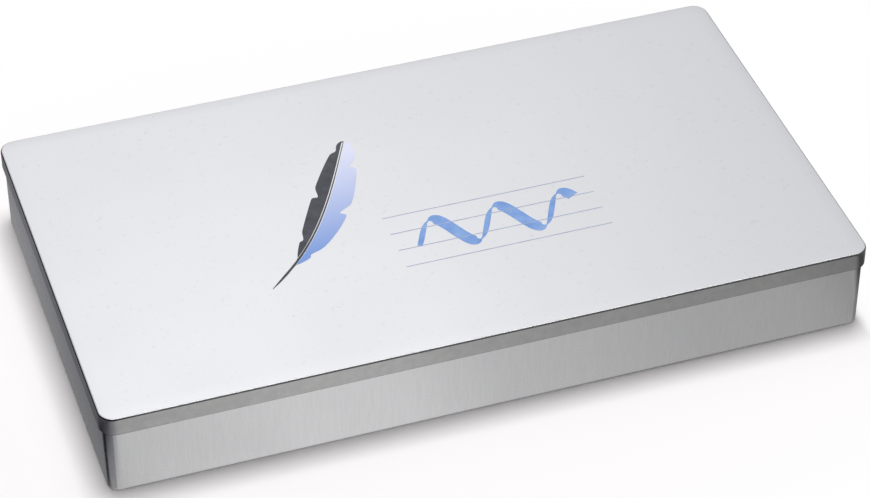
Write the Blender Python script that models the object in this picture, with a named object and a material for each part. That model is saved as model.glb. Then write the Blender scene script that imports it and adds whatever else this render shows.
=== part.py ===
"""A hinged sheet-metal calligraphy set box: a shallow lid with an overhanging skirt on a drawn base,
and inside it a moulded tray with a broad-nib fountain pen, two spare nibs on holders and ink cartridges.

Metres, +Z up. The origin is the middle of the lid's outline, on the surface that the box stands on.
+X runs along the long side, -Y is the front, and the two hinges are on the +Y side. The sizes are
worked out from the inside outwards: the pen and its tray give the base, and the base gives the lid.
"""

import math

import bmesh
import bpy
from mathutils import Vector

for old in list(bpy.data.objects):
    bpy.data.objects.remove(old)


# Sizes of the sheet metal and of the gaps between pieces.
LID_SHEET = 0.0004
BASE_SHEET = 0.0004
TRAY_SHEET = 0.0007
SKIRT_CLEARANCE = 0.00035  # between the lid's skirt and the base's wall
SEAT_GAP = 0.0003  # under a piece that rests on another
GLUE_GAP = 0.0001  # behind a piece that is welded or glued on
CUT_OVERRUN = 0.002  # how far a cutter reaches past what it cuts

# Ink cartridge, a turned bottle with its mouth at the neck's end.
CARTRIDGE_RADIUS = 0.0034
CARTRIDGE_BODY_LENGTH = 0.056
CARTRIDGE_SHOULDER_LENGTH = 0.003
CARTRIDGE_NECK_WALL = 0.0008
CARTRIDGE_NECK_LENGTH = 0.006
CARTRIDGE_TAIL_ROUND = 0.0008
CARTRIDGE_MOUTH_RADIUS = 0.0015
CARTRIDGE_MOUTH_ROOM = 0.0015  # beyond the nipple's tip
CARTRIDGE_COUNT = 5

# Broad nib: a formed sheet that wraps the top of the feed.
NIB_SHEET = 0.0003
NIB_FIT = 0.00015  # between the nib and what it wraps, and between the nib and the grip's bore
NIB_ROOT_LENGTH = 0.011
NIB_SHOULDER_LENGTH = 0.004
NIB_TINE_LENGTH = 0.012
NIB_WRAP_DEGREES = 76.0
NIB_SHOULDER_WRAP_SHARE = 0.8
NIB_HOLE_RADIUS = 0.0006
NIB_SLIT_WIDTH = 0.00015
PEN_NIB_TIP = 0.0015
NARROW_NIB_TIP = 0.0011
WIDE_NIB_TIP = 0.0019

# Feed under the nib, with air fins, and the nipple that opens the cartridge.
FEED_RADIUS = 0.0027
FEED_SEAT_LENGTH = 0.0062
FEED_FINNED_LENGTH = 0.012
FEED_FIN_COUNT = 5
FEED_GROOVE_DEPTH = 0.0007
FEED_CONE_LENGTH = 0.010
FEED_TIP_RADIUS = 0.0009
NIPPLE_FIT = 0.0004
NIPPLE_LENGTH = 0.0045

# Grip section.
GRIP_SPIGOT_LENGTH = 0.010
GRIP_SPIGOT_WALL = 0.0007
GRIP_SHOULDER = 0.0008
GRIP_FRONT_WALL = 0.0007
GRIP_LIP_RISE = 0.0003
GRIP_LIP_LENGTH = 0.002

# Long tapered barrel.
BARREL_LENGTH = 0.127
BARREL_WALL = 0.0013
BARREL_SOCKET_WALL = 0.00095
BARREL_TAIL_WALL = 0.0010
BARREL_TAIL_RADIUS = 0.0024
BARREL_TAIL_LENGTH = 0.062  # from the tail to where the long taper ends
BARREL_BORE_START = 0.008
BARREL_TAIL_ROUND = 0.0012

# Cap, with its liner, clip and finial.
CAP_LENGTH = 0.060
CAP_OVERLAP = 0.003  # how far the cap covers the barrel
CAP_WALL = 0.0012
CAP_END_WALL = 0.0025
CAP_TOP_SHRINK = 0.0004
CAP_ROUND = 0.0005
CAP_BARREL_GAP = 0.0003
CAP_NIB_ROOM = 0.0067  # from the nib's tip to the liner's end
LINER_WALL = 0.0008
LINER_FIT = 0.0003
CLIP_SHEET = 0.0007
CLIP_WIDTH = 0.0036
CLIP_RISE = 0.0024  # air between the clip's arm and the cap
CLIP_LENGTH = 0.040
CLIP_NOSE_LENGTH = 0.005
CLIP_TIP_FLARE = 0.0008
CLIP_WASHER_INSET = 0.0003
FINIAL_HEAD_INSET = 0.0001
FINIAL_HEAD_LENGTH = 0.0018
FINIAL_DOME = 0.0006
FINIAL_SPIGOT_RADIUS = 0.0019
FINIAL_TIP_MARGIN = 0.0002  # from the spigot's tip to the inner face of the cap's end
FINIAL_FIT = 0.0003

# Holder of a spare nib: a plug with a spigot that the nib slides over.
HOLDER_RADIUS = 0.0042
HOLDER_LENGTH = 0.014
HOLDER_SPIGOT_LENGTH = 0.010
HOLDER_ROUND = 0.0006
HOLDER_TIP_ROUND = 0.0005

# Moulded tray.
POCKET_CLEARANCE = 0.0003
POCKET_END_CLEARANCE = 0.0006
TRAY_CORNER_RADIUS = 0.004
DECK_ABOVE_PEN_AXIS = 0.0053
DECK_END_MARGIN = 0.0083
DECK_FRONT_MARGIN = 0.0204
DECK_ROW_GAP = 0.022
DECK_BACK_MARGIN = 0.0171
CARTRIDGE_RIDGE = 0.0006  # between two troughs
CARTRIDGE_SINK = 0.0022  # how far a cartridge's axis lies below the deck
HOLDER_SINK = 0.0028
WELL_CORNER_RADIUS = 0.005
WELL_FLOOR_LIFT = 0.003  # a finger well's floor above the tray's lowest floor
PEN_WELL_LENGTH = 0.028
PEN_WELL_REACH = 0.0095  # past the trough, on each side
PEN_WELL_FROM_LIP = 0.022  # from the cap's lip to the middle of the well
CARTRIDGE_WELL_LENGTH = 0.020
CARTRIDGE_WELL_REACH = 0.007
NIB_WELL_LENGTH = 0.020
NIB_WELL_REACH = 0.006
NIB_ROW_GAP = 0.010  # between the two holders, in the nib well
BACK_ROW_END_MARGIN = 0.01575
TRAY_ROW_GAP = 0.003  # the least between the cartridges' troughs and the first nib
TRAY_RIM_CLEARANCE = 0.0004

# Base and lid.
RIM_CURL_RADIUS = 0.0008
RIM_CURL_END_DEGREES = -105.0
BASE_EDGE_RADIUS = 0.0006
LID_CORNER_RADIUS = 0.0042
LID_EDGE_RADIUS = 0.0006
LID_SKIRT = 0.0054
LEAST_CORNER_RADIUS = 0.0003  # on the inner side of a drawn corner
LID_PAD_THICKNESS = 0.003
LID_PAD_MARGIN = 0.007  # from the base's outside to the pad's edge
LID_PAD_CORNER_RADIUS = 0.003
HEADROOM = 0.0030  # between the clip and the pad

# Hinges: two rolled leaves on a wire pin, spot-welded to the rear of the base and lid.
HINGE_FROM_MIDDLE = 0.060
HINGE_LENGTH = 0.022
HINGE_BASE_KNUCKLE = 0.0076
KNUCKLE_GAP = 0.0003
LEAF_SHEET = 0.0004
LEAF_DROP = 0.0072  # of the base leaf, below the hinge axis
LEAF_TOP_MARGIN = 0.0012  # of the lid leaf, below the lid's top
PIN_RADIUS = 0.0006
PIN_CLEARANCE = 0.0001
PIN_HEAD_INSET = 0.0001  # of its edge, from the knuckle's outside
PIN_HEAD_LENGTH = 0.0004
LID_OPEN_DEGREES = 110.0
STOP_GAP = 0.0001
BASE_LEAF_CURL_END_DEGREES = -115.0
LID_LEAF_CURL_END_DEGREES = -205.0
STOP_LUG_RISE = 0.00036
STOP_LUG_BACK_DEGREES = 10.0

# Facets.
CORNER_STEPS = 6
EDGE_STEPS = 4
CURL_STEPS = 9
TURN_STEPS = 24
SMALL_TURN_STEPS = 16
TROUGH_STEPS = 8
WRAP_STEPS = 8
MERGE_DISTANCE = 1e-6
SHARP_DEGREES = 30.0

# The pen, worked out from its tail at zero along its axis to the finial.
NIB_OUTER_RADIUS = FEED_RADIUS + NIB_FIT + NIB_SHEET
GRIP_FRONT_BORE = NIB_OUTER_RADIUS + NIB_FIT
NIPPLE_RADIUS = CARTRIDGE_MOUTH_RADIUS - NIPPLE_FIT
CARTRIDGE_MOUTH_DEPTH = NIPPLE_LENGTH + CARTRIDGE_MOUTH_ROOM
CARTRIDGE_NECK_RADIUS = CARTRIDGE_MOUTH_RADIUS + CARTRIDGE_NECK_WALL
CARTRIDGE_LENGTH = CARTRIDGE_BODY_LENGTH + CARTRIDGE_SHOULDER_LENGTH + CARTRIDGE_NECK_LENGTH
NIB_SHOULDER_AT = NIB_ROOT_LENGTH + NIB_SHOULDER_LENGTH
NIB_LENGTH = NIB_SHOULDER_AT + NIB_TINE_LENGTH
GRIP_REAR_BORE = CARTRIDGE_RADIUS + POCKET_CLEARANCE
GRIP_SPIGOT_RADIUS = GRIP_REAR_BORE + GRIP_SPIGOT_WALL
GRIP_REAR_RADIUS = GRIP_SPIGOT_RADIUS + GRIP_SHOULDER
GRIP_WAIST_RADIUS = GRIP_FRONT_BORE + GRIP_FRONT_WALL
GRIP_LIP_RADIUS = GRIP_WAIST_RADIUS + GRIP_LIP_RISE
BARREL_SOCKET_RADIUS = GRIP_SPIGOT_RADIUS + NIB_FIT
BARREL_FRONT_RADIUS = BARREL_SOCKET_RADIUS + BARREL_SOCKET_WALL
BARREL_MIDDLE_RADIUS = GRIP_REAR_BORE + BARREL_WALL
GRIP_NIB_REACH = NIB_FIT + NIB_LENGTH - NIB_ROOT_LENGTH / 2  # of the nib, past the grip's front
CAP_END_THICKNESS = CAP_END_WALL + LINER_FIT + LINER_WALL
CAP_COVER = CAP_LENGTH - CAP_OVERLAP - NIB_FIT  # how much of the pen it covers from the grip's shoulder on
GRIP_LENGTH = CAP_COVER - GRIP_NIB_REACH - CAP_NIB_ROOM - CAP_END_THICKNESS
GRIP_SHOULDER_AT = BARREL_LENGTH + NIB_FIT
GRIP_SPIGOT_AT = GRIP_SHOULDER_AT - GRIP_SPIGOT_LENGTH
GRIP_FRONT_AT = GRIP_SHOULDER_AT + GRIP_LENGTH
FEED_SHOULDER_AT = GRIP_FRONT_AT - FEED_SEAT_LENGTH - NIB_ROOT_LENGTH / 2
FEED_NIB_SEAT_AT = FEED_SHOULDER_AT + FEED_SEAT_LENGTH
FEED_TIP_AT = FEED_NIB_SEAT_AT + FEED_FINNED_LENGTH + FEED_CONE_LENGTH
NIB_ROOT_AT = FEED_NIB_SEAT_AT + NIB_FIT
CARTRIDGE_MOUTH_AT = FEED_SHOULDER_AT - SEAT_GAP
CARTRIDGE_TAIL_AT = CARTRIDGE_MOUTH_AT - CARTRIDGE_LENGTH
CAP_LIP_AT = BARREL_LENGTH - CAP_OVERLAP
CAP_END_AT = CAP_LIP_AT + CAP_LENGTH
CAP_BORE_RADIUS = BARREL_FRONT_RADIUS + CAP_BARREL_GAP
CAP_RADIUS = CAP_BORE_RADIUS + CAP_WALL
CAP_FACE_RADIUS = CAP_RADIUS - CAP_TOP_SHRINK - CAP_ROUND
LINER_RADIUS = CAP_BORE_RADIUS - LINER_FIT
LINER_START_AT = GRIP_FRONT_AT - GRIP_LIP_LENGTH
LINER_END_AT = CAP_END_AT - CAP_END_WALL - LINER_FIT
CLIP_WASHER_AT = CAP_END_AT + GLUE_GAP
CLIP_WASHER_RADIUS = CAP_FACE_RADIUS - CLIP_WASHER_INSET
FINIAL_HEAD_RADIUS = CAP_FACE_RADIUS - FINIAL_HEAD_INSET
FINIAL_TIP_AT = CAP_END_AT - CAP_END_WALL + FINIAL_TIP_MARGIN
FINIAL_HEAD_AT = CLIP_WASHER_AT + CLIP_SHEET + GLUE_GAP
PEN_LENGTH = FINIAL_HEAD_AT + FINIAL_HEAD_LENGTH
CLIP_TOP = CAP_RADIUS + CLIP_RISE + CLIP_SHEET

# The tray, as long and as wide as its rows of pockets need.
POCKET_FLOOR = BASE_SHEET + SEAT_GAP + TRAY_SHEET
TRAY_FOOT = BASE_SHEET + SEAT_GAP
HOLDER_SPIGOT_RADIUS = FEED_RADIUS
SPARE_NIB_LENGTH = HOLDER_LENGTH + SEAT_GAP + NIB_LENGTH
CARTRIDGE_TROUGH_WIDTH = 2 * (CARTRIDGE_RADIUS + POCKET_CLEARANCE)
CARTRIDGE_PITCH = CARTRIDGE_TROUGH_WIDTH + CARTRIDGE_RIDGE
CARTRIDGE_ROW = (CARTRIDGE_COUNT - 1) * CARTRIDGE_PITCH + CARTRIDGE_TROUGH_WIDTH
BACK_ROW_LENGTH = (
    CARTRIDGE_LENGTH + TRAY_ROW_GAP + 2 * SPARE_NIB_LENGTH + NIB_ROW_GAP + 4 * POCKET_END_CLEARANCE
)
FRONT_ROW_LENGTH = PEN_LENGTH + 2 * POCKET_END_CLEARANCE
TRAY_LENGTH = max(
    FRONT_ROW_LENGTH + 2 * DECK_END_MARGIN, BACK_ROW_LENGTH + 2 * BACK_ROW_END_MARGIN
)
PEN_ROW_WIDTH = 2 * (CAP_RADIUS + POCKET_CLEARANCE)
TRAY_WIDTH = DECK_FRONT_MARGIN + PEN_ROW_WIDTH + DECK_ROW_GAP + CARTRIDGE_ROW + DECK_BACK_MARGIN
PEN_AXIS_Z = POCKET_FLOOR + POCKET_CLEARANCE + CAP_RADIUS
DECK_Z = PEN_AXIS_Z + DECK_ABOVE_PEN_AXIS
PEN_AXIS_Y = -TRAY_WIDTH / 2 + DECK_FRONT_MARGIN + PEN_ROW_WIDTH / 2
BACK_ROW_Y = TRAY_WIDTH / 2 - DECK_BACK_MARGIN - CARTRIDGE_ROW / 2
PEN_TAIL_X = -PEN_LENGTH / 2
BACK_ROW_END = TRAY_LENGTH / 2 - BACK_ROW_END_MARGIN - POCKET_END_CLEARANCE
CARTRIDGE_TAIL_X = -BACK_ROW_END
CARTRIDGE_AXIS_Z = DECK_Z - CARTRIDGE_SINK
HOLDER_AXIS_Z = DECK_Z - HOLDER_SINK
NIB_ROW_X = BACK_ROW_END - SPARE_NIB_LENGTH - NIB_ROW_GAP / 2
WELL_FLOOR = POCKET_FLOOR + WELL_FLOOR_LIFT

# The base goes round the tray, and the lid round the base.
RIM_CURL_WIDTH = 2 * RIM_CURL_RADIUS
BASE_LENGTH = TRAY_LENGTH + 2 * (RIM_CURL_WIDTH + TRAY_RIM_CLEARANCE)
BASE_WIDTH = TRAY_WIDTH + 2 * (RIM_CURL_WIDTH + TRAY_RIM_CLEARANCE)
LID_OVERHANG = SKIRT_CLEARANCE + LID_SHEET
LID_LENGTH = BASE_LENGTH + 2 * LID_OVERHANG
LID_WIDTH = BASE_WIDTH + 2 * LID_OVERHANG
BASE_CORNER_RADIUS = LID_CORNER_RADIUS - LID_OVERHANG
PAD_BOTTOM = PEN_AXIS_Z + CLIP_TOP + HEADROOM
PAD_TOP = PAD_BOTTOM + LID_PAD_THICKNESS
LID_TOP = PAD_TOP + GLUE_GAP + LID_SHEET
BASE_TOP = LID_TOP - LID_SHEET - SEAT_GAP

# The hinge axis lies just outside the base's rear wall, below the skirt's edge.
KNUCKLE_BORE = PIN_RADIUS + PIN_CLEARANCE
KNUCKLE_RADIUS = KNUCKLE_BORE + LEAF_SHEET
PIN_HEAD_RADIUS = KNUCKLE_RADIUS - PIN_HEAD_INSET
HINGE_Y = BASE_WIDTH / 2 + GLUE_GAP + KNUCKLE_RADIUS
HINGE_Z = LID_TOP - LID_SKIRT - KNUCKLE_GAP - KNUCKLE_RADIUS


def material(name, colour, roughness, metallic=0.0):
    made = bpy.data.materials.new(name)
    made.use_nodes = True
    shader = made.node_tree.nodes["Principled BSDF"]
    shader.inputs["Base Color"].default_value = (*colour, 1.0)
    shader.inputs["Roughness"].default_value = roughness
    shader.inputs["Metallic"].default_value = metallic
    return made


LID_METAL = material("satin_silver_lid", (0.80, 0.80, 0.83), 0.35, 1.0)
BASE_METAL = material("brushed_silver_base", (0.62, 0.62, 0.64), 0.38, 1.0)
HINGE_STEEL = material("hinge_steel", (0.55, 0.56, 0.58), 0.30, 1.0)
POLISHED_STEEL = material("polished_steel", (0.70, 0.71, 0.72), 0.15, 1.0)
TRAY_FLOCK = material("grey_flock", (0.30, 0.31, 0.33), 0.95)
PAD_FOAM = material("charcoal_foam", (0.06, 0.06, 0.065), 0.95)
PEN_BLACK = material("black_gloss_plastic", (0.012, 0.012, 0.014), 0.12)
GRIP_BLACK = material("black_matt_plastic", (0.020, 0.020, 0.022), 0.50)
LINER_PLASTIC = material("milky_plastic", (0.70, 0.70, 0.68), 0.45)
INK_BLUE = material("blue_cartridge", (0.02, 0.10, 0.55), 0.18)
FINIAL_BLUE = material("blue_gloss_plastic", (0.08, 0.22, 0.62), 0.20)


def link(name, mesh, finish=None, location=(0, 0, 0), rotation=(0, 0, 0)):
    piece = bpy.data.objects.new(name, mesh)
    bpy.context.scene.collection.objects.link(piece)
    piece.location = location
    piece.rotation_euler = rotation
    if finish and not mesh.materials:
        mesh.materials.append(finish)
    return piece


def carried_by(parent, pieces):
    """Parents pieces to an empty, each at the place where it already is."""
    for piece in pieces:
        piece.location -= parent.location
        piece.parent = parent


def mesh_from(bm, name):
    """The bmesh as a closed mesh with its faces outwards, smooth except at its sharp edges."""
    bmesh.ops.remove_doubles(bm, verts=bm.verts, dist=MERGE_DISTANCE)
    bmesh.ops.recalc_face_normals(bm, faces=bm.faces)
    mesh = bpy.data.meshes.new(name)
    bm.to_mesh(mesh)
    bm.free()
    mesh.shade_smooth()
    mesh.set_sharp_from_angle(angle=math.radians(SHARP_DEGREES))
    return mesh


def arc(centre, radius, start_degrees, end_degrees, steps):
    """Points on an arc in a plane, both ends included."""
    points = []
    for step in range(steps + 1):
        angle = math.radians(start_degrees + (end_degrees - start_degrees) * step / steps)
        points.append((centre[0] + radius * math.cos(angle), centre[1] + radius * math.sin(angle)))
    return points


def rounded_rectangle(length, width, radius):
    """A rectangle's outline about the origin, counter-clockwise, with an arc at each corner."""
    points = []
    for quarter, (side_x, side_y) in enumerate(((1, 1), (-1, 1), (-1, -1), (1, -1))):
        centre = (side_x * (length / 2 - radius), side_y * (width / 2 - radius))
        points += arc(centre, radius, 90 * quarter, 90 * quarter + 90, CORNER_STEPS)
    return points


def skinned(bm, rings):
    """Joins rings of points, each as long as the next, into one skin with a face on both ends."""
    loops = [[bm.verts.new(point) for point in ring] for ring in rings]
    for first, second in zip(loops, loops[1:]):
        for a, b, c, d in zip(first, first[1:] + first[:1], second[1:] + second[:1], second):
            bm.faces.new((a, b, c, d))
    bm.faces.new(loops[0])
    bm.faces.new(loops[-1])


def drawn_shell(name, length, width, radius, profile, finish):
    """A shell drawn from sheet: a profile of (inset, height) swept round a rounded rectangle."""
    bm = bmesh.new()
    rings = []
    for inset, height in profile:
        corner = max(radius - inset, LEAST_CORNER_RADIUS)
        outline = rounded_rectangle(length - 2 * inset, width - 2 * inset, corner)
        rings.append([(x, y, height) for x, y in outline])
    skinned(bm, rings)
    return link(name, mesh_from(bm, name), finish)


def turned_mesh(name, profile, steps=TURN_STEPS):
    """A body turned about +X from (along, radius) points. Off the axis, the profile closes on itself."""
    bm = bmesh.new()
    vertices = [bm.verts.new((along, 0, radius)) for along, radius in profile]
    edges = [bm.edges.new(pair) for pair in zip(vertices, vertices[1:])]
    if profile[0][1] > 0:
        edges.append(bm.edges.new((vertices[-1], vertices[0])))
    bmesh.ops.spin(
        bm,
        geom=vertices + edges,
        cent=(0, 0, 0),
        axis=(1, 0, 0),
        angle=math.tau,
        steps=steps,
        use_merge=True,
    )
    return mesh_from(bm, name)


def prism_mesh(name, outline, low, high, axis):
    """An outline in the plane of two axes, extruded along the third, X, Y or Z, from low to high."""
    bm = bmesh.new()
    place = {
        "X": lambda a, b: (low, a, b),
        "Y": lambda a, b: (a, low, b),
        "Z": lambda a, b: (a, b, low),
    }[axis]
    along = {"X": Vector((1, 0, 0)), "Y": Vector((0, 1, 0)), "Z": Vector((0, 0, 1))}[axis]
    face = bm.faces.new([bm.verts.new(place(a, b)) for a, b in outline])
    moved = bmesh.ops.extrude_face_region(bm, geom=[face])["geom"]
    top = [item for item in moved if isinstance(item, bmesh.types.BMVert)]
    bmesh.ops.translate(bm, verts=top, vec=along * (high - low))
    return mesh_from(bm, name)


def box_outline(low, high):
    """A rectangle's outline between two opposite corners in a plane."""
    return [low, (high[0], low[1]), high, (low[0], high[1])]


def shaped(piece, joined=(), cut=()):
    """Joins forms to a piece, then cuts others out of it, and marks the edges that are left as sharp."""
    for operation, forms in (("UNION", joined), ("DIFFERENCE", cut)):
        for form in forms:
            modifier = piece.modifiers.new(form.name, "BOOLEAN")
            modifier.operation = operation
            modifier.object = form
    graph = bpy.context.evaluated_depsgraph_get()
    mesh = bpy.data.meshes.new_from_object(piece.evaluated_get(graph))
    mesh.set_sharp_from_angle(angle=math.radians(SHARP_DEGREES))
    piece.modifiers.clear()
    piece.data = mesh
    for form in (*joined, *cut):
        bpy.data.objects.remove(form)
    return piece


# Base: the rolled rim curls inwards, over the tray's edge.
def base_profile():
    wall_top = BASE_TOP - RIM_CURL_RADIUS
    edge_centre = (BASE_EDGE_RADIUS, BASE_EDGE_RADIUS)
    curl_centre = (RIM_CURL_RADIUS, wall_top)
    inner_curl = RIM_CURL_RADIUS - BASE_SHEET
    inner_edge = BASE_EDGE_RADIUS - BASE_SHEET
    outside = arc(edge_centre, BASE_EDGE_RADIUS, 270, 180, EDGE_STEPS)
    over = arc(curl_centre, RIM_CURL_RADIUS, 180, RIM_CURL_END_DEGREES, CURL_STEPS)
    back = arc(curl_centre, inner_curl, RIM_CURL_END_DEGREES, 180, CURL_STEPS)
    inside = arc(edge_centre, inner_edge, 180, 270, EDGE_STEPS)
    return outside + over + back + inside


drawn_shell("base_shell", BASE_LENGTH, BASE_WIDTH, BASE_CORNER_RADIUS, base_profile(), BASE_METAL)


# Lid: a flat top, a small rounded edge and a plain skirt, carried by an empty on the hinges' axis.
def lid_profile():
    edge_centre = (LID_EDGE_RADIUS, LID_TOP - LID_EDGE_RADIUS)
    skirt_edge = LID_TOP - LID_SKIRT
    outside = arc(edge_centre, LID_EDGE_RADIUS, 90, 180, EDGE_STEPS)
    inside = arc(edge_centre, LID_EDGE_RADIUS - LID_SHEET, 180, 90, EDGE_STEPS)
    return outside + [(0, skirt_edge), (LID_SHEET, skirt_edge)] + inside


lid_axis = link("lid_axis", None, None, (0, HINGE_Y, HINGE_Z))
lid = drawn_shell("lid_shell", LID_LENGTH, LID_WIDTH, LID_CORNER_RADIUS, lid_profile(), LID_METAL)
pad_outline = rounded_rectangle(
    BASE_LENGTH - 2 * LID_PAD_MARGIN, BASE_WIDTH - 2 * LID_PAD_MARGIN, LID_PAD_CORNER_RADIUS
)
pad = link("lid_foam_pad", prism_mesh("lid_foam_pad", pad_outline, PAD_BOTTOM, PAD_TOP, "Z"), PAD_FOAM)
carried_by(lid_axis, (lid, pad))


# Tray: a thin shell with pockets hung under its deck. Each pocket is given as its inner form,
# which is cut out, and the same form grown by the sheet, which is joined on before the cut.
def trough_mesh(name, stations, axis_z, grow, top):
    """A U-shaped trough through (x, radius) stations. Its ends and step move outwards by grow."""
    bm = bmesh.new()
    rings = []
    for x, radius, end in stations:
        across = arc((0, axis_z), radius + grow, 180, 360, TROUGH_STEPS)
        outline = [(-radius - grow, top)] + across + [(radius + grow, top)]
        rings.append([(x + end * grow, y, z) for y, z in outline])
    skinned(bm, rings)
    return mesh_from(bm, name)


def trough(name, stations, y, axis_z):
    """The outer and inner forms of one trough."""
    outer = trough_mesh(name + "_outer", stations, axis_z, TRAY_SHEET, DECK_Z - TRAY_SHEET / 2)
    inner = trough_mesh(name + "_inner", stations, axis_z, 0, DECK_Z + CUT_OVERRUN)
    return tuple(link(form.name, form, None, (0, y, 0)) for form in (outer, inner))


def well(name, length, width, x, y):
    """The outer and inner forms of one finger well, a rounded pocket with a flat floor."""
    wide = rounded_rectangle(
        length + 2 * TRAY_SHEET, width + 2 * TRAY_SHEET, WELL_CORNER_RADIUS + TRAY_SHEET
    )
    inside = rounded_rectangle(length, width, WELL_CORNER_RADIUS)
    under, top = WELL_FLOOR - TRAY_SHEET, DECK_Z - TRAY_SHEET / 2
    outer = prism_mesh(name + "_outer", wide, under, top, "Z")
    inner = prism_mesh(name + "_inner", inside, WELL_FLOOR, DECK_Z + CUT_OVERRUN, "Z")
    return tuple(link(form.name, form, None, (x, y, 0)) for form in (outer, inner))


def cartridge_y(index):
    return BACK_ROW_Y + (index - (CARTRIDGE_COUNT - 1) / 2) * CARTRIDGE_PITCH


def tray_pockets():
    lip_x = PEN_TAIL_X + CAP_LIP_AT
    pen_stations = [
        (PEN_TAIL_X - POCKET_END_CLEARANCE, BARREL_TAIL_RADIUS + POCKET_CLEARANCE, -1),
        (PEN_TAIL_X + BARREL_TAIL_LENGTH, BARREL_MIDDLE_RADIUS + POCKET_CLEARANCE, 0),
        (lip_x - POCKET_END_CLEARANCE, BARREL_FRONT_RADIUS + POCKET_CLEARANCE, -1),
        (lip_x - POCKET_END_CLEARANCE, CAP_RADIUS + POCKET_CLEARANCE, -1),
        (PEN_TAIL_X + PEN_LENGTH + POCKET_END_CLEARANCE, CAP_RADIUS + POCKET_CLEARANCE, 1),
    ]
    pockets = [trough("pen_trough", pen_stations, PEN_AXIS_Y, PEN_AXIS_Z)]
    pen_well_width = 2 * (CAP_RADIUS + PEN_WELL_REACH)
    pen_well_x = lip_x - PEN_WELL_FROM_LIP
    pockets.append(well("pen_well", PEN_WELL_LENGTH, pen_well_width, pen_well_x, PEN_AXIS_Y))

    cartridge_radius = CARTRIDGE_RADIUS + POCKET_CLEARANCE
    cartridge_stations = [
        (CARTRIDGE_TAIL_X - POCKET_END_CLEARANCE, cartridge_radius, -1),
        (CARTRIDGE_TAIL_X + CARTRIDGE_LENGTH + POCKET_END_CLEARANCE, cartridge_radius, 1),
    ]
    for index in range(CARTRIDGE_COUNT):
        name = "cartridge_trough_" + str(index + 1)
        pockets.append(trough(name, cartridge_stations, cartridge_y(index), CARTRIDGE_AXIS_Z))
    cartridge_well_width = CARTRIDGE_ROW + 2 * CARTRIDGE_WELL_REACH
    cartridge_well_x = CARTRIDGE_TAIL_X + CARTRIDGE_BODY_LENGTH / 2
    pockets.append(
        well("cartridge_well", CARTRIDGE_WELL_LENGTH, cartridge_well_width, cartridge_well_x, BACK_ROW_Y)
    )

    reach = NIB_ROW_GAP / 2 + SPARE_NIB_LENGTH + POCKET_END_CLEARANCE
    nib_stations = [
        (NIB_ROW_X - reach, HOLDER_RADIUS + POCKET_CLEARANCE, -1),
        (NIB_ROW_X + reach, HOLDER_RADIUS + POCKET_CLEARANCE, 1),
    ]
    pockets.append(trough("nib_trough", nib_stations, BACK_ROW_Y, HOLDER_AXIS_Z))
    nib_well_width = 2 * (HOLDER_RADIUS + NIB_WELL_REACH)
    pockets.append(well("nib_well", NIB_WELL_LENGTH, nib_well_width, NIB_ROW_X, BACK_ROW_Y))
    return pockets


tray_outline = rounded_rectangle(TRAY_LENGTH, TRAY_WIDTH, TRAY_CORNER_RADIUS)
hollow_outline = rounded_rectangle(
    TRAY_LENGTH - 2 * TRAY_SHEET, TRAY_WIDTH - 2 * TRAY_SHEET, TRAY_CORNER_RADIUS - TRAY_SHEET
)
tray = link("insert_tray", prism_mesh("insert_tray", tray_outline, TRAY_FOOT, DECK_Z, "Z"), TRAY_FLOCK)
hollow_mesh = prism_mesh("tray_hollow", hollow_outline, TRAY_FOOT - CUT_OVERRUN, DECK_Z - TRAY_SHEET, "Z")
shaped(tray, cut=[link("tray_hollow", hollow_mesh)])
outer_forms, inner_forms = zip(*tray_pockets())
shaped(tray, joined=outer_forms, cut=inner_forms)


# Ink cartridges, all from one mesh. The neck's mouth faces +X.
def cartridge_profile():
    shoulder = CARTRIDGE_BODY_LENGTH
    neck = shoulder + CARTRIDGE_SHOULDER_LENGTH
    return [
        (0, 0),
        (0, CARTRIDGE_RADIUS - CARTRIDGE_TAIL_ROUND),
        (CARTRIDGE_TAIL_ROUND, CARTRIDGE_RADIUS),
        (shoulder, CARTRIDGE_RADIUS),
        (neck, CARTRIDGE_NECK_RADIUS),
        (CARTRIDGE_LENGTH, CARTRIDGE_NECK_RADIUS),
        (CARTRIDGE_LENGTH, CARTRIDGE_MOUTH_RADIUS),
        (CARTRIDGE_LENGTH - CARTRIDGE_MOUTH_DEPTH, CARTRIDGE_MOUTH_RADIUS),
        (CARTRIDGE_LENGTH - CARTRIDGE_MOUTH_DEPTH, 0),
    ]


cartridge_mesh = turned_mesh("ink_cartridge", cartridge_profile(), SMALL_TURN_STEPS)
for index in range(CARTRIDGE_COUNT):
    place = (CARTRIDGE_TAIL_X, cartridge_y(index), CARTRIDGE_AXIS_Z)
    link("ink_cartridge_" + str(index + 1), cartridge_mesh, INK_BLUE, place)


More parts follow.
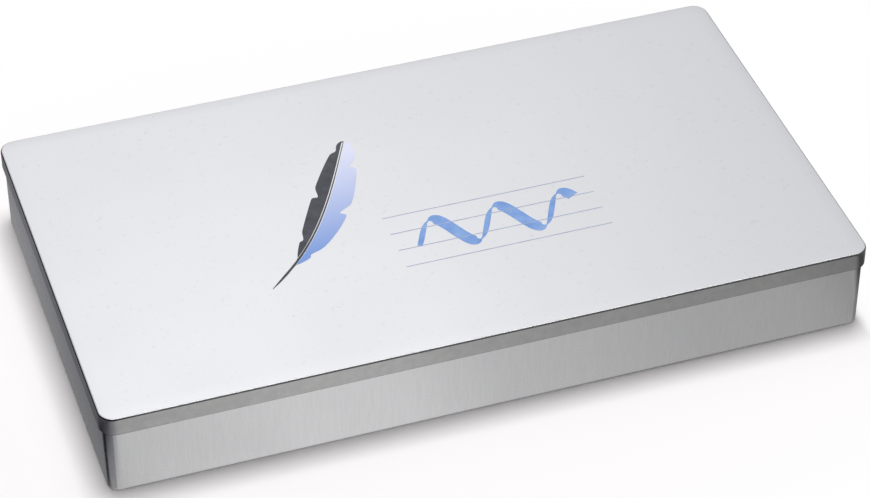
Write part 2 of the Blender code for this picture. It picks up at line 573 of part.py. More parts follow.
# Nibs. Along +X from the root at zero to the tip; the sheet wraps over the top of the X axis.
def nib_piece(name, tip_width, location, turned_round=False):
    inner = FEED_RADIUS + NIB_FIT
    outer = inner + NIB_SHEET
    tip_wrap = math.degrees(math.asin(tip_width / 2 / outer))
    shoulder_wrap = NIB_WRAP_DEGREES * NIB_SHOULDER_WRAP_SHARE
    stations = [(0, NIB_WRAP_DEGREES), (NIB_ROOT_LENGTH, NIB_WRAP_DEGREES)]
    stations += [(NIB_SHOULDER_AT, shoulder_wrap), (NIB_LENGTH, tip_wrap)]
    bm = bmesh.new()
    rings = []
    for x, wrap in stations:
        over = arc((0, 0), outer, 90 + wrap, 90 - wrap, WRAP_STEPS)
        under = arc((0, 0), inner, 90 - wrap, 90 + wrap, WRAP_STEPS)
        rings.append([(x, y, z) for y, z in over + under])
    skinned(bm, rings)
    bmesh.ops.triangulate(bm, faces=bm.faces)
    turn = (0, 0, math.pi) if turned_round else (0, 0, 0)
    nib = link(name, mesh_from(bm, name), POLISHED_STEEL, location, turn)

    hole_outline = arc((NIB_SHOULDER_AT, 0), NIB_HOLE_RADIUS, 0, 360, SMALL_TURN_STEPS)[:-1]
    hole = prism_mesh(name + "_hole", hole_outline, 0, outer + CUT_OVERRUN, "Z")
    half = NIB_SLIT_WIDTH / 2
    slit_outline = box_outline((NIB_SHOULDER_AT, -half), (NIB_LENGTH + CUT_OVERRUN, half))
    slit = prism_mesh(name + "_slit", slit_outline, 0, outer + CUT_OVERRUN, "Z")
    return shaped(nib, cut=[link(cutter.name, cutter, None, location, turn) for cutter in (hole, slit)])


# Spare nibs, back to back: the holders meet in the nib well, and the tips point outwards.
def holder_profile():
    return [
        (0, 0),
        (0, HOLDER_RADIUS - HOLDER_ROUND),
        (HOLDER_ROUND, HOLDER_RADIUS),
        (HOLDER_LENGTH - HOLDER_ROUND, HOLDER_RADIUS),
        (HOLDER_LENGTH, HOLDER_RADIUS - HOLDER_ROUND),
        (HOLDER_LENGTH, HOLDER_SPIGOT_RADIUS),
        (HOLDER_LENGTH + HOLDER_SPIGOT_LENGTH - HOLDER_TIP_ROUND, HOLDER_SPIGOT_RADIUS),
        (HOLDER_LENGTH + HOLDER_SPIGOT_LENGTH, HOLDER_SPIGOT_RADIUS - HOLDER_TIP_ROUND),
        (HOLDER_LENGTH + HOLDER_SPIGOT_LENGTH, 0),
    ]


holder_mesh = turned_mesh("nib_holder", holder_profile(), SMALL_TURN_STEPS)
for size, side, tip in (("narrow", -1, NARROW_NIB_TIP), ("wide", 1, WIDE_NIB_TIP)):
    turn = (0, 0, 0) if side > 0 else (0, 0, math.pi)
    holder_x = NIB_ROW_X + side * NIB_ROW_GAP / 2
    root_x = holder_x + side * (HOLDER_LENGTH + SEAT_GAP)
    link("nib_holder_" + size, holder_mesh, GRIP_BLACK, (holder_x, BACK_ROW_Y, HOLDER_AXIS_Z), turn)
    nib_piece("spare_nib_" + size, tip, (root_x, BACK_ROW_Y, HOLDER_AXIS_Z), side < 0)


# Pen. Every turned piece has its origin at the pen's tail, on the pen's axis.
def feed_profile():
    points = [
        (FEED_SHOULDER_AT - NIPPLE_LENGTH, 0),
        (FEED_SHOULDER_AT - NIPPLE_LENGTH, NIPPLE_RADIUS),
        (FEED_SHOULDER_AT, NIPPLE_RADIUS),
        (FEED_SHOULDER_AT, NIB_OUTER_RADIUS),
        (FEED_NIB_SEAT_AT, NIB_OUTER_RADIUS),
        (FEED_NIB_SEAT_AT, FEED_RADIUS),
    ]
    pitch = FEED_FINNED_LENGTH / FEED_FIN_COUNT
    for fin in range(FEED_FIN_COUNT):
        groove = FEED_NIB_SEAT_AT + pitch * (fin + 1 / 2)
        points += [(groove, FEED_RADIUS), (groove, FEED_RADIUS - FEED_GROOVE_DEPTH)]
        points += [(groove + pitch / 2, FEED_RADIUS - FEED_GROOVE_DEPTH), (groove + pitch / 2, FEED_RADIUS)]
    return points + [(FEED_TIP_AT, FEED_TIP_RADIUS), (FEED_TIP_AT, 0)]


def grip_profile():
    waist_at = GRIP_FRONT_AT - 2 * GRIP_LIP_LENGTH
    return [
        (GRIP_SPIGOT_AT, GRIP_REAR_BORE),
        (GRIP_SPIGOT_AT, GRIP_SPIGOT_RADIUS),
        (GRIP_SHOULDER_AT, GRIP_SPIGOT_RADIUS),
        (GRIP_SHOULDER_AT, GRIP_REAR_RADIUS),
        (waist_at, GRIP_WAIST_RADIUS),
        (GRIP_FRONT_AT, GRIP_LIP_RADIUS),
        (GRIP_FRONT_AT, GRIP_FRONT_BORE),
        (FEED_SHOULDER_AT, GRIP_FRONT_BORE),
        (FEED_SHOULDER_AT, GRIP_REAR_BORE),
    ]


def barrel_profile():
    socket_at = GRIP_SPIGOT_AT - SEAT_GAP
    bore = GRIP_REAR_BORE
    tail_bore = BARREL_TAIL_RADIUS - BARREL_TAIL_WALL
    return [
        (0, 0),
        (0, BARREL_TAIL_RADIUS - BARREL_TAIL_ROUND),
        (BARREL_TAIL_ROUND, BARREL_TAIL_RADIUS),
        (BARREL_TAIL_LENGTH, BARREL_MIDDLE_RADIUS),
        (BARREL_LENGTH, BARREL_FRONT_RADIUS),
        (BARREL_LENGTH, BARREL_SOCKET_RADIUS),
        (socket_at, BARREL_SOCKET_RADIUS),
        (socket_at, bore),
        (BARREL_TAIL_LENGTH, bore),
        (BARREL_BORE_START, tail_bore),
        (BARREL_BORE_START, 0),
    ]


def cap_profile():
    hole = FINIAL_SPIGOT_RADIUS + FINIAL_FIT
    bore_end = CAP_END_AT - CAP_END_WALL
    return [
        (CAP_LIP_AT, CAP_BORE_RADIUS),
        (CAP_LIP_AT, CAP_RADIUS - CAP_ROUND),
        (CAP_LIP_AT + CAP_ROUND, CAP_RADIUS),
        (CAP_END_AT - CAP_ROUND, CAP_RADIUS - CAP_TOP_SHRINK),
        (CAP_END_AT, CAP_RADIUS - CAP_TOP_SHRINK - CAP_ROUND),
        (CAP_END_AT, hole),
        (bore_end, hole),
        (bore_end, CAP_BORE_RADIUS),
    ]


def liner_profile():
    bore = LINER_RADIUS - LINER_WALL
    closed_at = LINER_END_AT - LINER_WALL
    return [
        (closed_at, 0),
        (closed_at, bore),
        (LINER_START_AT, bore),
        (LINER_START_AT, LINER_RADIUS),
        (LINER_END_AT, LINER_RADIUS),
        (LINER_END_AT, 0),
    ]


def finial_profile():
    end = FINIAL_HEAD_AT + FINIAL_HEAD_LENGTH
    return [
        (FINIAL_TIP_AT, 0),
        (FINIAL_TIP_AT, FINIAL_SPIGOT_RADIUS),
        (FINIAL_HEAD_AT, FINIAL_SPIGOT_RADIUS),
        (FINIAL_HEAD_AT, FINIAL_HEAD_RADIUS),
        (end - FINIAL_DOME, FINIAL_HEAD_RADIUS),
        (end, FINIAL_HEAD_RADIUS - 2 * FINIAL_DOME),
        (end, 0),
    ]


pen_tail = link("pen_tail", None, None, (PEN_TAIL_X, PEN_AXIS_Y, PEN_AXIS_Z))
pen_pieces = []
for name, profile, steps, finish in (
    ("pen_feed", feed_profile(), SMALL_TURN_STEPS, GRIP_BLACK),
    ("pen_grip_section", grip_profile(), TURN_STEPS, GRIP_BLACK),
    ("pen_barrel", barrel_profile(), TURN_STEPS, PEN_BLACK),
    ("pen_cap", cap_profile(), TURN_STEPS, PEN_BLACK),
    ("pen_cap_liner", liner_profile(), SMALL_TURN_STEPS, LINER_PLASTIC),
    ("pen_finial", finial_profile(), TURN_STEPS, FINIAL_BLUE),
):
    pen_pieces.append(link(name, turned_mesh(name, profile, steps), finish, pen_tail.location))
nib_place = (PEN_TAIL_X + NIB_ROOT_AT, PEN_AXIS_Y, PEN_AXIS_Z)
pen_pieces.append(nib_piece("pen_nib", PEN_NIB_TIP, nib_place))
cartridge_place = (PEN_TAIL_X + CARTRIDGE_TAIL_AT, PEN_AXIS_Y, PEN_AXIS_Z)
pen_pieces.append(link("pen_cartridge", cartridge_mesh, INK_BLUE, cartridge_place))


# Clip: a washer held by the finial, and an arm bent over the cap with a nose that touches it.
def clip_outline():
    """The bent strip in the plane of the pen's axis, as (along the pen, above the axis)."""
    washer_end = CLIP_WASHER_AT + CLIP_SHEET
    arm_low = CAP_RADIUS + CLIP_RISE
    nose_low = CAP_RADIUS + SEAT_GAP
    tip_at = washer_end - CLIP_LENGTH
    nose_at = tip_at + CLIP_NOSE_LENGTH / 2
    arm_end = tip_at + CLIP_NOSE_LENGTH
    flare_low = nose_low + CLIP_TIP_FLARE
    return [
        (washer_end, 0),
        (washer_end, arm_low),
        (washer_end - CLIP_SHEET, arm_low + CLIP_SHEET),
        (arm_end, arm_low + CLIP_SHEET),
        (nose_at, nose_low + CLIP_SHEET),
        (tip_at, flare_low + CLIP_SHEET),
        (tip_at, flare_low),
        (nose_at, nose_low),
        (arm_end, arm_low),
        (CLIP_WASHER_AT - CLIP_SHEET, arm_low),
        (CLIP_WASHER_AT, arm_low - CLIP_SHEET),
        (CLIP_WASHER_AT, 0),
    ]


clip_mesh = prism_mesh("pen_clip", clip_outline(), -CLIP_WIDTH / 2, CLIP_WIDTH / 2, "Y")
clip = link("pen_clip", clip_mesh, POLISHED_STEEL, pen_tail.location)
washer_profile = [
    (CLIP_WASHER_AT, 0),
    (CLIP_WASHER_AT, CLIP_WASHER_RADIUS),
    (CLIP_WASHER_AT + CLIP_SHEET, CLIP_WASHER_RADIUS),
    (CLIP_WASHER_AT + CLIP_SHEET, 0),
]
hole_profile = [
    (CLIP_WASHER_AT - CUT_OVERRUN, 0),
    (CLIP_WASHER_AT - CUT_OVERRUN, FINIAL_SPIGOT_RADIUS + FINIAL_FIT),
    (CLIP_WASHER_AT + CUT_OVERRUN, FINIAL_SPIGOT_RADIUS + FINIAL_FIT),
    (CLIP_WASHER_AT + CUT_OVERRUN, 0),
]
washer = link("clip_washer", turned_mesh("clip_washer", washer_profile), None, pen_tail.location)
hole = link("clip_hole", turned_mesh("clip_hole", hole_profile), None, pen_tail.location)
pen_pieces.append(shaped(clip, joined=[washer], cut=[hole]))
carried_by(pen_tail, pen_pieces)


# Hinges. Outlines are (y, z) about the hinge axis, and the leaves are rolled round the pin.
def base_leaf_outline():
    outer = arc((0, 0), KNUCKLE_RADIUS, 180, BASE_LEAF_CURL_END_DEGREES, CURL_STEPS)
    inner = arc((0, 0), KNUCKLE_BORE, BASE_LEAF_CURL_END_DEGREES, 180, CURL_STEPS)
    return [(-KNUCKLE_RADIUS, -LEAF_DROP)] + outer + inner + [(-KNUCKLE_BORE, -LEAF_DROP)]


def lid_leaf_outline():
    """The plate lies on the skirt. Its curl goes back and down round the pin and up again at the front,
    with a pointed lug that meets the base's wall when the lid is open."""
    front = LID_WIDTH / 2 + GLUE_GAP - HINGE_Y
    back = front + LEAF_SHEET
    top = LID_TOP - LEAF_TOP_MARGIN - HINGE_Z
    plate_at = math.degrees(math.acos(back / KNUCKLE_RADIUS))
    root_at = math.degrees(math.acos(front / KNUCKLE_BORE))

    lug_radius = KNUCKLE_RADIUS + STOP_LUG_RISE
    wall = HINGE_Y - BASE_WIDTH / 2 - STOP_GAP
    lug_at = LID_OPEN_DEGREES + math.degrees(math.acos(wall / lug_radius)) - 180
    lug_from = lug_at + math.degrees(math.acos(KNUCKLE_RADIUS / lug_radius))
    lug_to = lug_at - STOP_LUG_BACK_DEGREES

    outer = arc((0, 0), KNUCKLE_RADIUS, plate_at, lug_from, CURL_STEPS // 2)
    outer += arc((0, 0), lug_radius, lug_at, lug_at, 1)[:1]
    outer += arc((0, 0), KNUCKLE_RADIUS, lug_to, LID_LEAF_CURL_END_DEGREES, CURL_STEPS)
    inner = arc((0, 0), KNUCKLE_BORE, LID_LEAF_CURL_END_DEGREES, root_at, CURL_STEPS)
    return [(front, top), (back, top)] + outer + inner


def knuckle_notch(name, centre, low, high, bottom, top):
    """A box that removes a leaf's curl between two places along the hinge."""
    reach = KNUCKLE_RADIUS + CUT_OVERRUN
    mesh = prism_mesh(name, box_outline((-reach, bottom), (reach, top)), low, high, "X")
    return link(name, mesh, None, centre)


def hinge(side, x):
    """One hinge. It gives back the leaf that the lid carries."""
    half = HINGE_LENGTH / 2
    base_half = HINGE_BASE_KNUCKLE / 2
    lid_gap = base_half + KNUCKLE_GAP
    centre = (x, HINGE_Y, HINGE_Z)
    beyond = half + CUT_OVERRUN
    past_curl = KNUCKLE_RADIUS + CUT_OVERRUN
    clear_of_curl = KNUCKLE_RADIUS + KNUCKLE_GAP

    base_mesh = prism_mesh("hinge_base_leaf_" + side, base_leaf_outline(), -half, half, "X")
    base_leaf = link(base_mesh.name, base_mesh, HINGE_STEEL, centre)
    left_notch = knuckle_notch("left_notch", centre, -beyond, -base_half, -clear_of_curl, past_curl)
    right_notch = knuckle_notch("right_notch", centre, base_half, beyond, -clear_of_curl, past_curl)
    shaped(base_leaf, cut=[left_notch, right_notch])

    lid_mesh = prism_mesh("hinge_lid_leaf_" + side, lid_leaf_outline(), -half, half, "X")
    lid_leaf = link(lid_mesh.name, lid_mesh, HINGE_STEEL, centre)
    shaped(lid_leaf, cut=[knuckle_notch("notch", centre, -lid_gap, lid_gap, -past_curl, clear_of_curl)])

    head_at = half + GLUE_GAP
    pin_end = head_at + PIN_HEAD_LENGTH
    pin_profile = [
        (-pin_end, 0),
        (-pin_end, PIN_HEAD_RADIUS),
        (-head_at, PIN_HEAD_RADIUS),
        (-head_at, PIN_RADIUS),
        (head_at, PIN_RADIUS),
        (head_at, PIN_HEAD_RADIUS),
        (pin_end, PIN_HEAD_RADIUS),
        (pin_end, 0),
    ]
    pin_mesh = turned_mesh("hinge_pin_" + side, pin_profile, SMALL_TURN_STEPS)
    link(pin_mesh.name, pin_mesh, POLISHED_STEEL, centre)
    return lid_leaf


carried_by(lid_axis, (hinge("left", -HINGE_FROM_MIDDLE), hinge("right", HINGE_FROM_MIDDLE)))

print("lid", round(LID_LENGTH, 5), "by", round(LID_WIDTH, 5), "top at", round(LID_TOP, 5))
print("pen length", round(PEN_LENGTH, 5), "deck at", round(DECK_Z, 5))
print("hinge axis at y", round(HINGE_Y, 5), "z", round(HINGE_Z, 5))
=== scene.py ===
# %% [markdown]
# # A calligraphy set in a shallow metal box
# The real object is a flat box drawn from thin sheet metal. Its lid overhangs the base by a short skirt and
# turns on two small hinges at the rear. Inside lie a long pen, two spare nibs and five ink cartridges in a
# flocked tray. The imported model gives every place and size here, and this file gives the looks: finer shapes
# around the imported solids, finishes made from nodes, and a plain studio.

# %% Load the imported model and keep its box
import math

import bmesh
import bpy
from mathutils import Matrix, Vector


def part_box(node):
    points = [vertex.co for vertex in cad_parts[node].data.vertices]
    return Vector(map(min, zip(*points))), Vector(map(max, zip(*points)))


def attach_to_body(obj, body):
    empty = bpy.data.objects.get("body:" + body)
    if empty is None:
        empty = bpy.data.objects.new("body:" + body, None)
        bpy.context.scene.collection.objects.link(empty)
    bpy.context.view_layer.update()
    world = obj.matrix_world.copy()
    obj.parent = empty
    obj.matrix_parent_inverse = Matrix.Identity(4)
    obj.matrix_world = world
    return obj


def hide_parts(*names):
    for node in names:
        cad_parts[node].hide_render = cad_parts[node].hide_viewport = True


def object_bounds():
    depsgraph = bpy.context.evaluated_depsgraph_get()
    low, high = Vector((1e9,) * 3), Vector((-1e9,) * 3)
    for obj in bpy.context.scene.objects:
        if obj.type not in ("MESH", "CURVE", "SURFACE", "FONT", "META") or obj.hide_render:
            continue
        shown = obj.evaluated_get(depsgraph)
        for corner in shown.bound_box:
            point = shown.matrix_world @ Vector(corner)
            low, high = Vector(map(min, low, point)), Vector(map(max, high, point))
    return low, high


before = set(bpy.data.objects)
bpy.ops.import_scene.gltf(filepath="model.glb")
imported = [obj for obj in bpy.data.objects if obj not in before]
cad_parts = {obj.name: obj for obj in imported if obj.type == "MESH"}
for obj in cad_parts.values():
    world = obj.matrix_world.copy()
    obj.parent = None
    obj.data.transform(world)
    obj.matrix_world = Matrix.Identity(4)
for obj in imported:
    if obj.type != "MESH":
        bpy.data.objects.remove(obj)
cad_low, cad_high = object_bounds()

# %% [markdown]
# ## Camera
# The camera stands where the photograph's camera stood: in front, a little to the left and 40 degrees up.
# Its place was worked out from the box's straight edges, and its lens from how far these edges run together.
# A long lens from far away would draw them parallel, which is why the distance matters as much as the
# direction.

# %% Place the camera
MM = 0.001
PHOTO_WIDTH = 870
SENSOR_WIDTH = 36.0
FOCAL_PIXELS = 3159.1
CAMERA_AZIMUTH = math.radians(-18.49)
CAMERA_ELEVATION = math.radians(40.055)
CAMERA_OFFSET = Vector((2.60, -14.35, 856.3)) * MM  # right, up and back from the middle of the lid's top


def direction(azimuth, elevation):
    """A unit vector from the object. Azimuth 0 is the front, -Y, and grows towards +X."""
    flat = math.cos(elevation)
    return Vector((math.sin(azimuth) * flat, -math.cos(azimuth) * flat, math.sin(elevation)))


back = direction(CAMERA_AZIMUTH, CAMERA_ELEVATION)
right = Vector((math.cos(CAMERA_AZIMUTH), math.sin(CAMERA_AZIMUTH), 0))
axes = Matrix((right, back.cross(right), back)).transposed()
lid_top_middle = Vector((0, 0, cad_high.z))

camera_data = bpy.data.cameras.new("photo_camera")
camera_data.sensor_width = SENSOR_WIDTH
camera_data.lens = FOCAL_PIXELS * SENSOR_WIDTH / PHOTO_WIDTH
camera = bpy.data.objects.new("photo_camera", camera_data)
bpy.context.scene.collection.objects.link(camera)
camera.matrix_world = Matrix.Translation(lid_top_middle + axes @ CAMERA_OFFSET) @ axes.to_4x4()
bpy.context.scene.camera = camera
print("lens", round(camera_data.lens, 1), "mm, camera at", [round(v, 3) for v in camera.location])

# %% [markdown]
# ## Node helpers
# A finish is a small graph of nodes. Writing each node out takes many lines, so two short helpers do it: one
# adds a node and sets its sockets by name, and one joins two sockets. The others build on them, for sums,
# for a number that goes from one value to another, and for a node group, a graph that several finishes can
# share.


# %% Helpers for nodes, groups and materials
def add(tree, kind, **settings):
    """Adds a node. A setting with a capital is a socket, with _ for a space, and any other is a property."""
    made = tree.nodes.new(kind)
    for name, value in settings.items():
        if name[0].isupper():
            made.inputs[name.replace("_", " ")].default_value = value
        else:
            setattr(made, name, value)
    return made


def join(tree, start, out, end, into):
    """Joins an output to an input, each by its name or its number."""
    tree.links.new(start.outputs[out], end.inputs[into])


def maths(tree, operation, *values):
    """A Math node. Each input is a number, or a pair of a node and its output."""
    made = add(tree, "ShaderNodeMath", operation=operation)
    for index, value in enumerate(values):
        if isinstance(value, tuple):
            join(tree, *value, made, index)
        else:
            made.inputs[index].default_value = value
    return made


def mixed(tree, kind, chooser, first, second):
    """Two shaders or colours by a mask: the first where it is zero, and the second where it is one."""
    made = add(tree, kind)
    for index, (source, out) in enumerate((chooser, (first, 0), (second, 0))):
        join(tree, source, out, made, index)
    return made


def spread(tree, source, out, start, end, low=0.0, high=1.0, kind="LINEAR"):
    """A number that goes from low to high as the source goes from start to end."""
    made = add(tree, "ShaderNodeMapRange", interpolation_type=kind)
    for socket, value in zip(("From Min", "From Max", "To Min", "To Max"), (start, end, low, high)):
        made.inputs[socket].default_value = value
    join(tree, source, out, made, "Value")
    return made


def smooth_step(tree, source, out, start, end, low, high):
    """The same with a gentle start and end."""
    return spread(tree, source, out, start, end, low, high, "SMOOTHSTEP")


def coordinates(tree, kind="Object"):
    """The coordinate node, and a node that gives its X, Y and Z as numbers."""
    place, split = add(tree, "ShaderNodeTexCoord"), add(tree, "ShaderNodeSeparateXYZ")
    join(tree, place, kind, split, 0)
    return place, split


def new_group(name, **inputs):
    """An empty node group that takes numbers and gives out one mask."""
    made, kind = bpy.data.node_groups.new(name, "ShaderNodeTree"), "NodeSocketFloat"
    for socket, value in inputs.items():
        made.interface.new_socket(name=socket, in_out="INPUT", socket_type=kind).default_value = value
    made.interface.new_socket(name="Mask", in_out="OUTPUT", socket_type=kind)
    return made, add(made, "NodeGroupInput"), add(made, "NodeGroupOutput")


def place_group(tree, shared, **values):
    made = add(tree, "ShaderNodeGroup", node_tree=shared)
    for name, value in values.items():
        made.inputs[name].default_value = value
    return made


def new_finish(name, colour, roughness, metallic=0.0, **sockets):
    """A material with one Principled shader and its plain values."""
    made = bpy.data.materials.new(name)
    made.use_nodes = True
    shader = made.node_tree.nodes["Principled BSDF"]
    sockets.update(Base_Color=(*colour, 1), Roughness=roughness, Metallic=metallic)
    for socket, value in sockets.items():
        shader.inputs[socket.replace("_", " ")].default_value = value
    return made, made.node_tree, shader


# %% [markdown]
# ## Shared surface effects
# Rolled and brushed metal, moulded plastic and flock all show small changes that repeat at some scale. One
# group gives even grain and another gives long streaks. Both read Object coordinates, which are metres on
# the object, so the scale of a grain is its real size. Each gives out a mask, and the material decides what
# the mask changes.


# %% Groups: grain of one size, and streaks
def grain_group():
    group, given, out = new_group("surface_grain", Size=0.001, Detail=2.0)
    place = add(group, "ShaderNodeTexCoord")
    texture = add(group, "ShaderNodeTexNoise", Roughness=0.55)
    join(group, place, "Object", texture, "Vector")
    join(group, maths(group, "DIVIDE", 1.0, (given, "Size")), 0, texture, "Scale")
    join(group, given, "Detail", texture, "Detail")
    join(group, texture, 0, out, "Mask")
    return group


def streak_group():
    """Streaks that run up a wall, Length long and Width apart."""
    group, given, out = new_group("upright_streaks", Width=0.0004, Length=0.008)
    place = add(group, "ShaderNodeTexCoord")
    scale = add(group, "ShaderNodeCombineXYZ")
    stretched = add(group, "ShaderNodeVectorMath", operation="MULTIPLY")
    texture = add(group, "ShaderNodeTexNoise", Scale=1.0, Detail=3.0, Roughness=0.6)
    for axis, size in (("X", "Width"), ("Y", "Width"), ("Z", "Length")):
        join(group, maths(group, "DIVIDE", 1.0, (given, size)), 0, scale, axis)
    join(group, place, "Object", stretched, 0)
    join(group, scale, 0, stretched, 1)
    join(group, stretched, 0, texture, "Vector")
    join(group, texture, 0, out, "Mask")
    return group


GRAIN, STREAKS = grain_group(), streak_group()
print("groups", GRAIN.name, STREAKS.name)


# %% Helpers: what a mask changes in a finish
def grain(tree, size, detail=2.0):
    return place_group(tree, GRAIN, Size=size, Detail=detail)


def vary_colour(tree, shader, mask, dark, light, low=0.3, high=0.7):
    """The mask moves the base colour between two colours."""
    ramp = add(tree, "ShaderNodeValToRGB")
    for stop, at, colour in zip(ramp.color_ramp.elements, (low, high), (dark, light)):
        stop.position, stop.color = at, (*colour, 1)
    join(tree, mask, 0, ramp, 0)
    join(tree, ramp, 0, shader, "Base Color")


def vary_roughness(tree, shader, mask, smooth, rough):
    join(tree, spread(tree, mask, 0, 0.3, 0.7, smooth, rough), 0, shader, "Roughness")


def raise_surface(tree, shader, mask, distance, strength=1.0):
    bump = add(tree, "ShaderNodeBump", Distance=distance, Strength=strength)
    join(tree, mask, 0, bump, "Height")
    join(tree, bump, 0, shader, "Normal")


def grained(name, colour, roughness, metallic, dark, light, size, worn=None, **sockets):
    """A finish whose colour changes with one grain and, if it is worn, its roughness with another."""
    made, tree, shader = new_finish(name, colour, roughness, metallic, **sockets)
    vary_colour(tree, shader, grain(tree, *size), dark, light)
    if worn:
        smooth, rough, *worn_size = worn
        vary_roughness(tree, shader, grain(tree, *worn_size), smooth, rough)
    return made


# %% [markdown]
# ## The metal finishes
# The lid's top is lacquered a pale satin silver. The skirt is smooth bare tinplate. The lower half of the bend
# over the lid's edge and the skirt's rounded hem get a nearly black metal colour, darkest towards the lid's
# left end: a painted dark reflection along the edge and a painted shade line at the skirt's foot. The base is
# brushed upright and looks streaked. All are metals, so their colour shows only in what they reflect, and
# roughness sets how soft the reflection is.

# %% Make the metal finishes
lid_top, tree, shader = new_finish("lid_satin_top", (0.86, 0.855, 0.88), 0.38, 1.0)
specks = grain(tree, 0.0013)
vary_colour(tree, shader, specks, (0.80, 0.795, 0.82), (0.862, 0.857, 0.882), 0.26, 0.36)
vary_roughness(tree, shader, grain(tree, 0.05, 1.0), 0.36, 0.40)
raise_surface(tree, shader, specks, 0.000003)

# Painted dark reflection and shade: a nearly black metal colour for the bend's lower half and the skirt's hem.
lid_edge_painted_dark, tree, shader = new_finish("lid_edge_painted_dark_reflection", (0.14, 0.14, 0.14), 0.30, 1.0)
# Painted shade: the bent edge turns darker still towards the lid's left end.
left_end_painted_shade = spread(tree, coordinates(tree)[1], "X", -0.1045, -0.095)
vary_colour(tree, shader, left_end_painted_shade, (0.015, 0.015, 0.017), (0.16, 0.16, 0.16), 0.0, 1.0)
vary_roughness(tree, shader, grain(tree, 0.004), 0.27, 0.34)

greys = (0.43, 0.43, 0.43), 0.28, 1.0, (0.405, 0.405, 0.405), (0.455, 0.453, 0.45)
tinplate = grained("smooth_tinplate", *greys, (0.002, 3.0), (0.25, 0.32, 0.015))

brushed, tree, shader = new_finish("upright_brushed", (0.66, 0.66, 0.67), 0.32, 1.0)
streaks = place_group(tree, STREAKS, Width=0.00045, Length=0.006)
vary_colour(tree, shader, streaks, (0.64, 0.64, 0.65), (0.68, 0.68, 0.69))
vary_roughness(tree, shader, place_group(tree, STREAKS, Width=0.0012, Length=0.012), 0.25, 0.29)
raise_surface(tree, shader, streaks, 0.000004, 0.3)
print("metals", [m.name for m in (lid_top, lid_edge_painted_dark, tinplate, brushed)])


# %% [markdown]
# ## Drawing a shell
# A press draws the sheet into a shell whose section is the same all the way round. In mesh terms that is one
# flat face with round corners whose rim is extruded again and again, each time to the next point of the
# section. It could also be a box with bevels, but this way the sheet's thickness and the rolled rim come
# from the same few lines. Cuts next to the corners keep the long flats flat when they are shaded smooth.


# %% Helpers: a face with round corners, and a section swept round it
VERT, EDGE = bmesh.types.BMVert, bmesh.types.BMEdge
CORNER_SEGMENTS = 12
SUPPORT = 0.3 * MM  # from a bend to the cut that keeps the flat beside it flat
SHARP_ANGLE = math.radians(40)


def only(kind, items):
    return [item for item in items if isinstance(item, kind)]


def rounded_face(bm, length, width, radius, height):
    corners = bmesh.ops.create_grid(bm, x_segments=1, y_segments=1, size=0.5)["verts"]
    bmesh.ops.scale(bm, verts=corners, vec=(length, width, 1))
    bmesh.ops.translate(bm, verts=corners, vec=(0, 0, height))
    round_off = {"segments": CORNER_SEGMENTS, "profile": 0.5, "affect": "VERTICES", "material": -1}
    bmesh.ops.bevel(bm, geom=corners, offset=radius, **round_off)
    for axis, half in ((Vector((1, 0, 0)), length / 2), (Vector((0, 1, 0)), width / 2)):
        for side in (-1, 1):
            everything = bm.verts[:] + bm.edges[:] + bm.faces[:]
            cut = axis * side * (half - radius - SUPPORT)
            bmesh.ops.bisect_plane(bm, geom=everything, plane_co=cut, plane_no=axis)


def sweep_section(bm, length, width, radius, section):
    """Extrudes the rim through (inset, height) points. It is at the first one, and is closed at the last."""
    flat = Vector((length / 2 - radius, width / 2 - radius))
    rim = [edge for edge in bm.edges if edge.is_boundary]
    for (old, _), (inset, height) in zip(section, section[1:]):
        made = bmesh.ops.extrude_edge_only(bm, edges=rim)["geom"]
        rim = [edge for edge in only(EDGE, made) if edge.is_boundary]
        share = (radius - inset) / (radius - old)
        for vert in {vert for edge in rim for vert in edge.verts}:
            for i in (0, 1):
                size = min(abs(vert.co[i]), flat[i]) + max(abs(vert.co[i]) - flat[i], 0) * share
                vert.co[i] = math.copysign(size, vert.co[i])
            vert.co.z = height
    bmesh.ops.contextual_create(bm, geom=rim)


def drawn(length, width, corner, section):
    """A bmesh with a section that is the same all the way round, and closed at both ends."""
    bm = bmesh.new()
    inset, height = section[0]
    rounded_face(bm, length - 2 * inset, width - 2 * inset, corner - inset, height)
    sweep_section(bm, length, width, corner, section)
    return bm


def shares(steps):
    return [step / steps for step in range(steps + 1)]


def bend(inset, height, radius, start, end, steps):
    """Points of a bend about a centre, with angles in degrees from its first axis."""
    turns = [math.radians(start + (end - start) * share) for share in shares(steps)]
    return [(inset + radius * math.cos(turn), height + radius * math.sin(turn)) for turn in turns]


def form_from(bm, name):
    """Stores a bmesh in an object at the origin, with outward faces."""
    bmesh.ops.remove_doubles(bm, verts=bm.verts, dist=0.001 * MM)
    bmesh.ops.recalc_face_normals(bm, faces=bm.faces)
    if all(edge.is_manifold for edge in bm.edges) and bm.calc_volume(signed=True) < 0:
        bmesh.ops.reverse_faces(bm, faces=bm.faces)
    mesh = bpy.data.meshes.new(name)
    bm.to_mesh(mesh)
    bm.free()
    made = bpy.data.objects.new(name, mesh)
    bpy.context.scene.collection.objects.link(made)
    return made


def piece_from(bm, name, *finishes):
    """A form that is seen: smooth but for its sharp edges, and with its finishes."""
    made = form_from(bm, name)
    made.data.shade_smooth()
    made.data.set_sharp_from_angle(angle=SHARP_ANGLE)
    for finish in finishes:
        made.data.materials.append(finish)
    return made


def attach(piece, body, slot, *nodes):
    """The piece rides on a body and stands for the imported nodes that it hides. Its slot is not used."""
    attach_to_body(piece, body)
    if nodes:
        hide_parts(*nodes)
    print(piece.name, "rides on", body, "with", len(piece.data.polygons), "faces")
    return piece


# %% [markdown]
# ## Lid
# A flat top, a tight bend and a skirt 5.4 mm deep. The ink of the print lies on the top, so the top here is
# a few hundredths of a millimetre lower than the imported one, and the two together stay inside the packed
# size.

# %% Draw the lid
INK_THICKNESS = 0.03 * MM
LID_SHEET, LID_BEND, LID_CORNER = 0.4 * MM, 0.6 * MM, 4.2 * MM
BEND_STEPS = 8

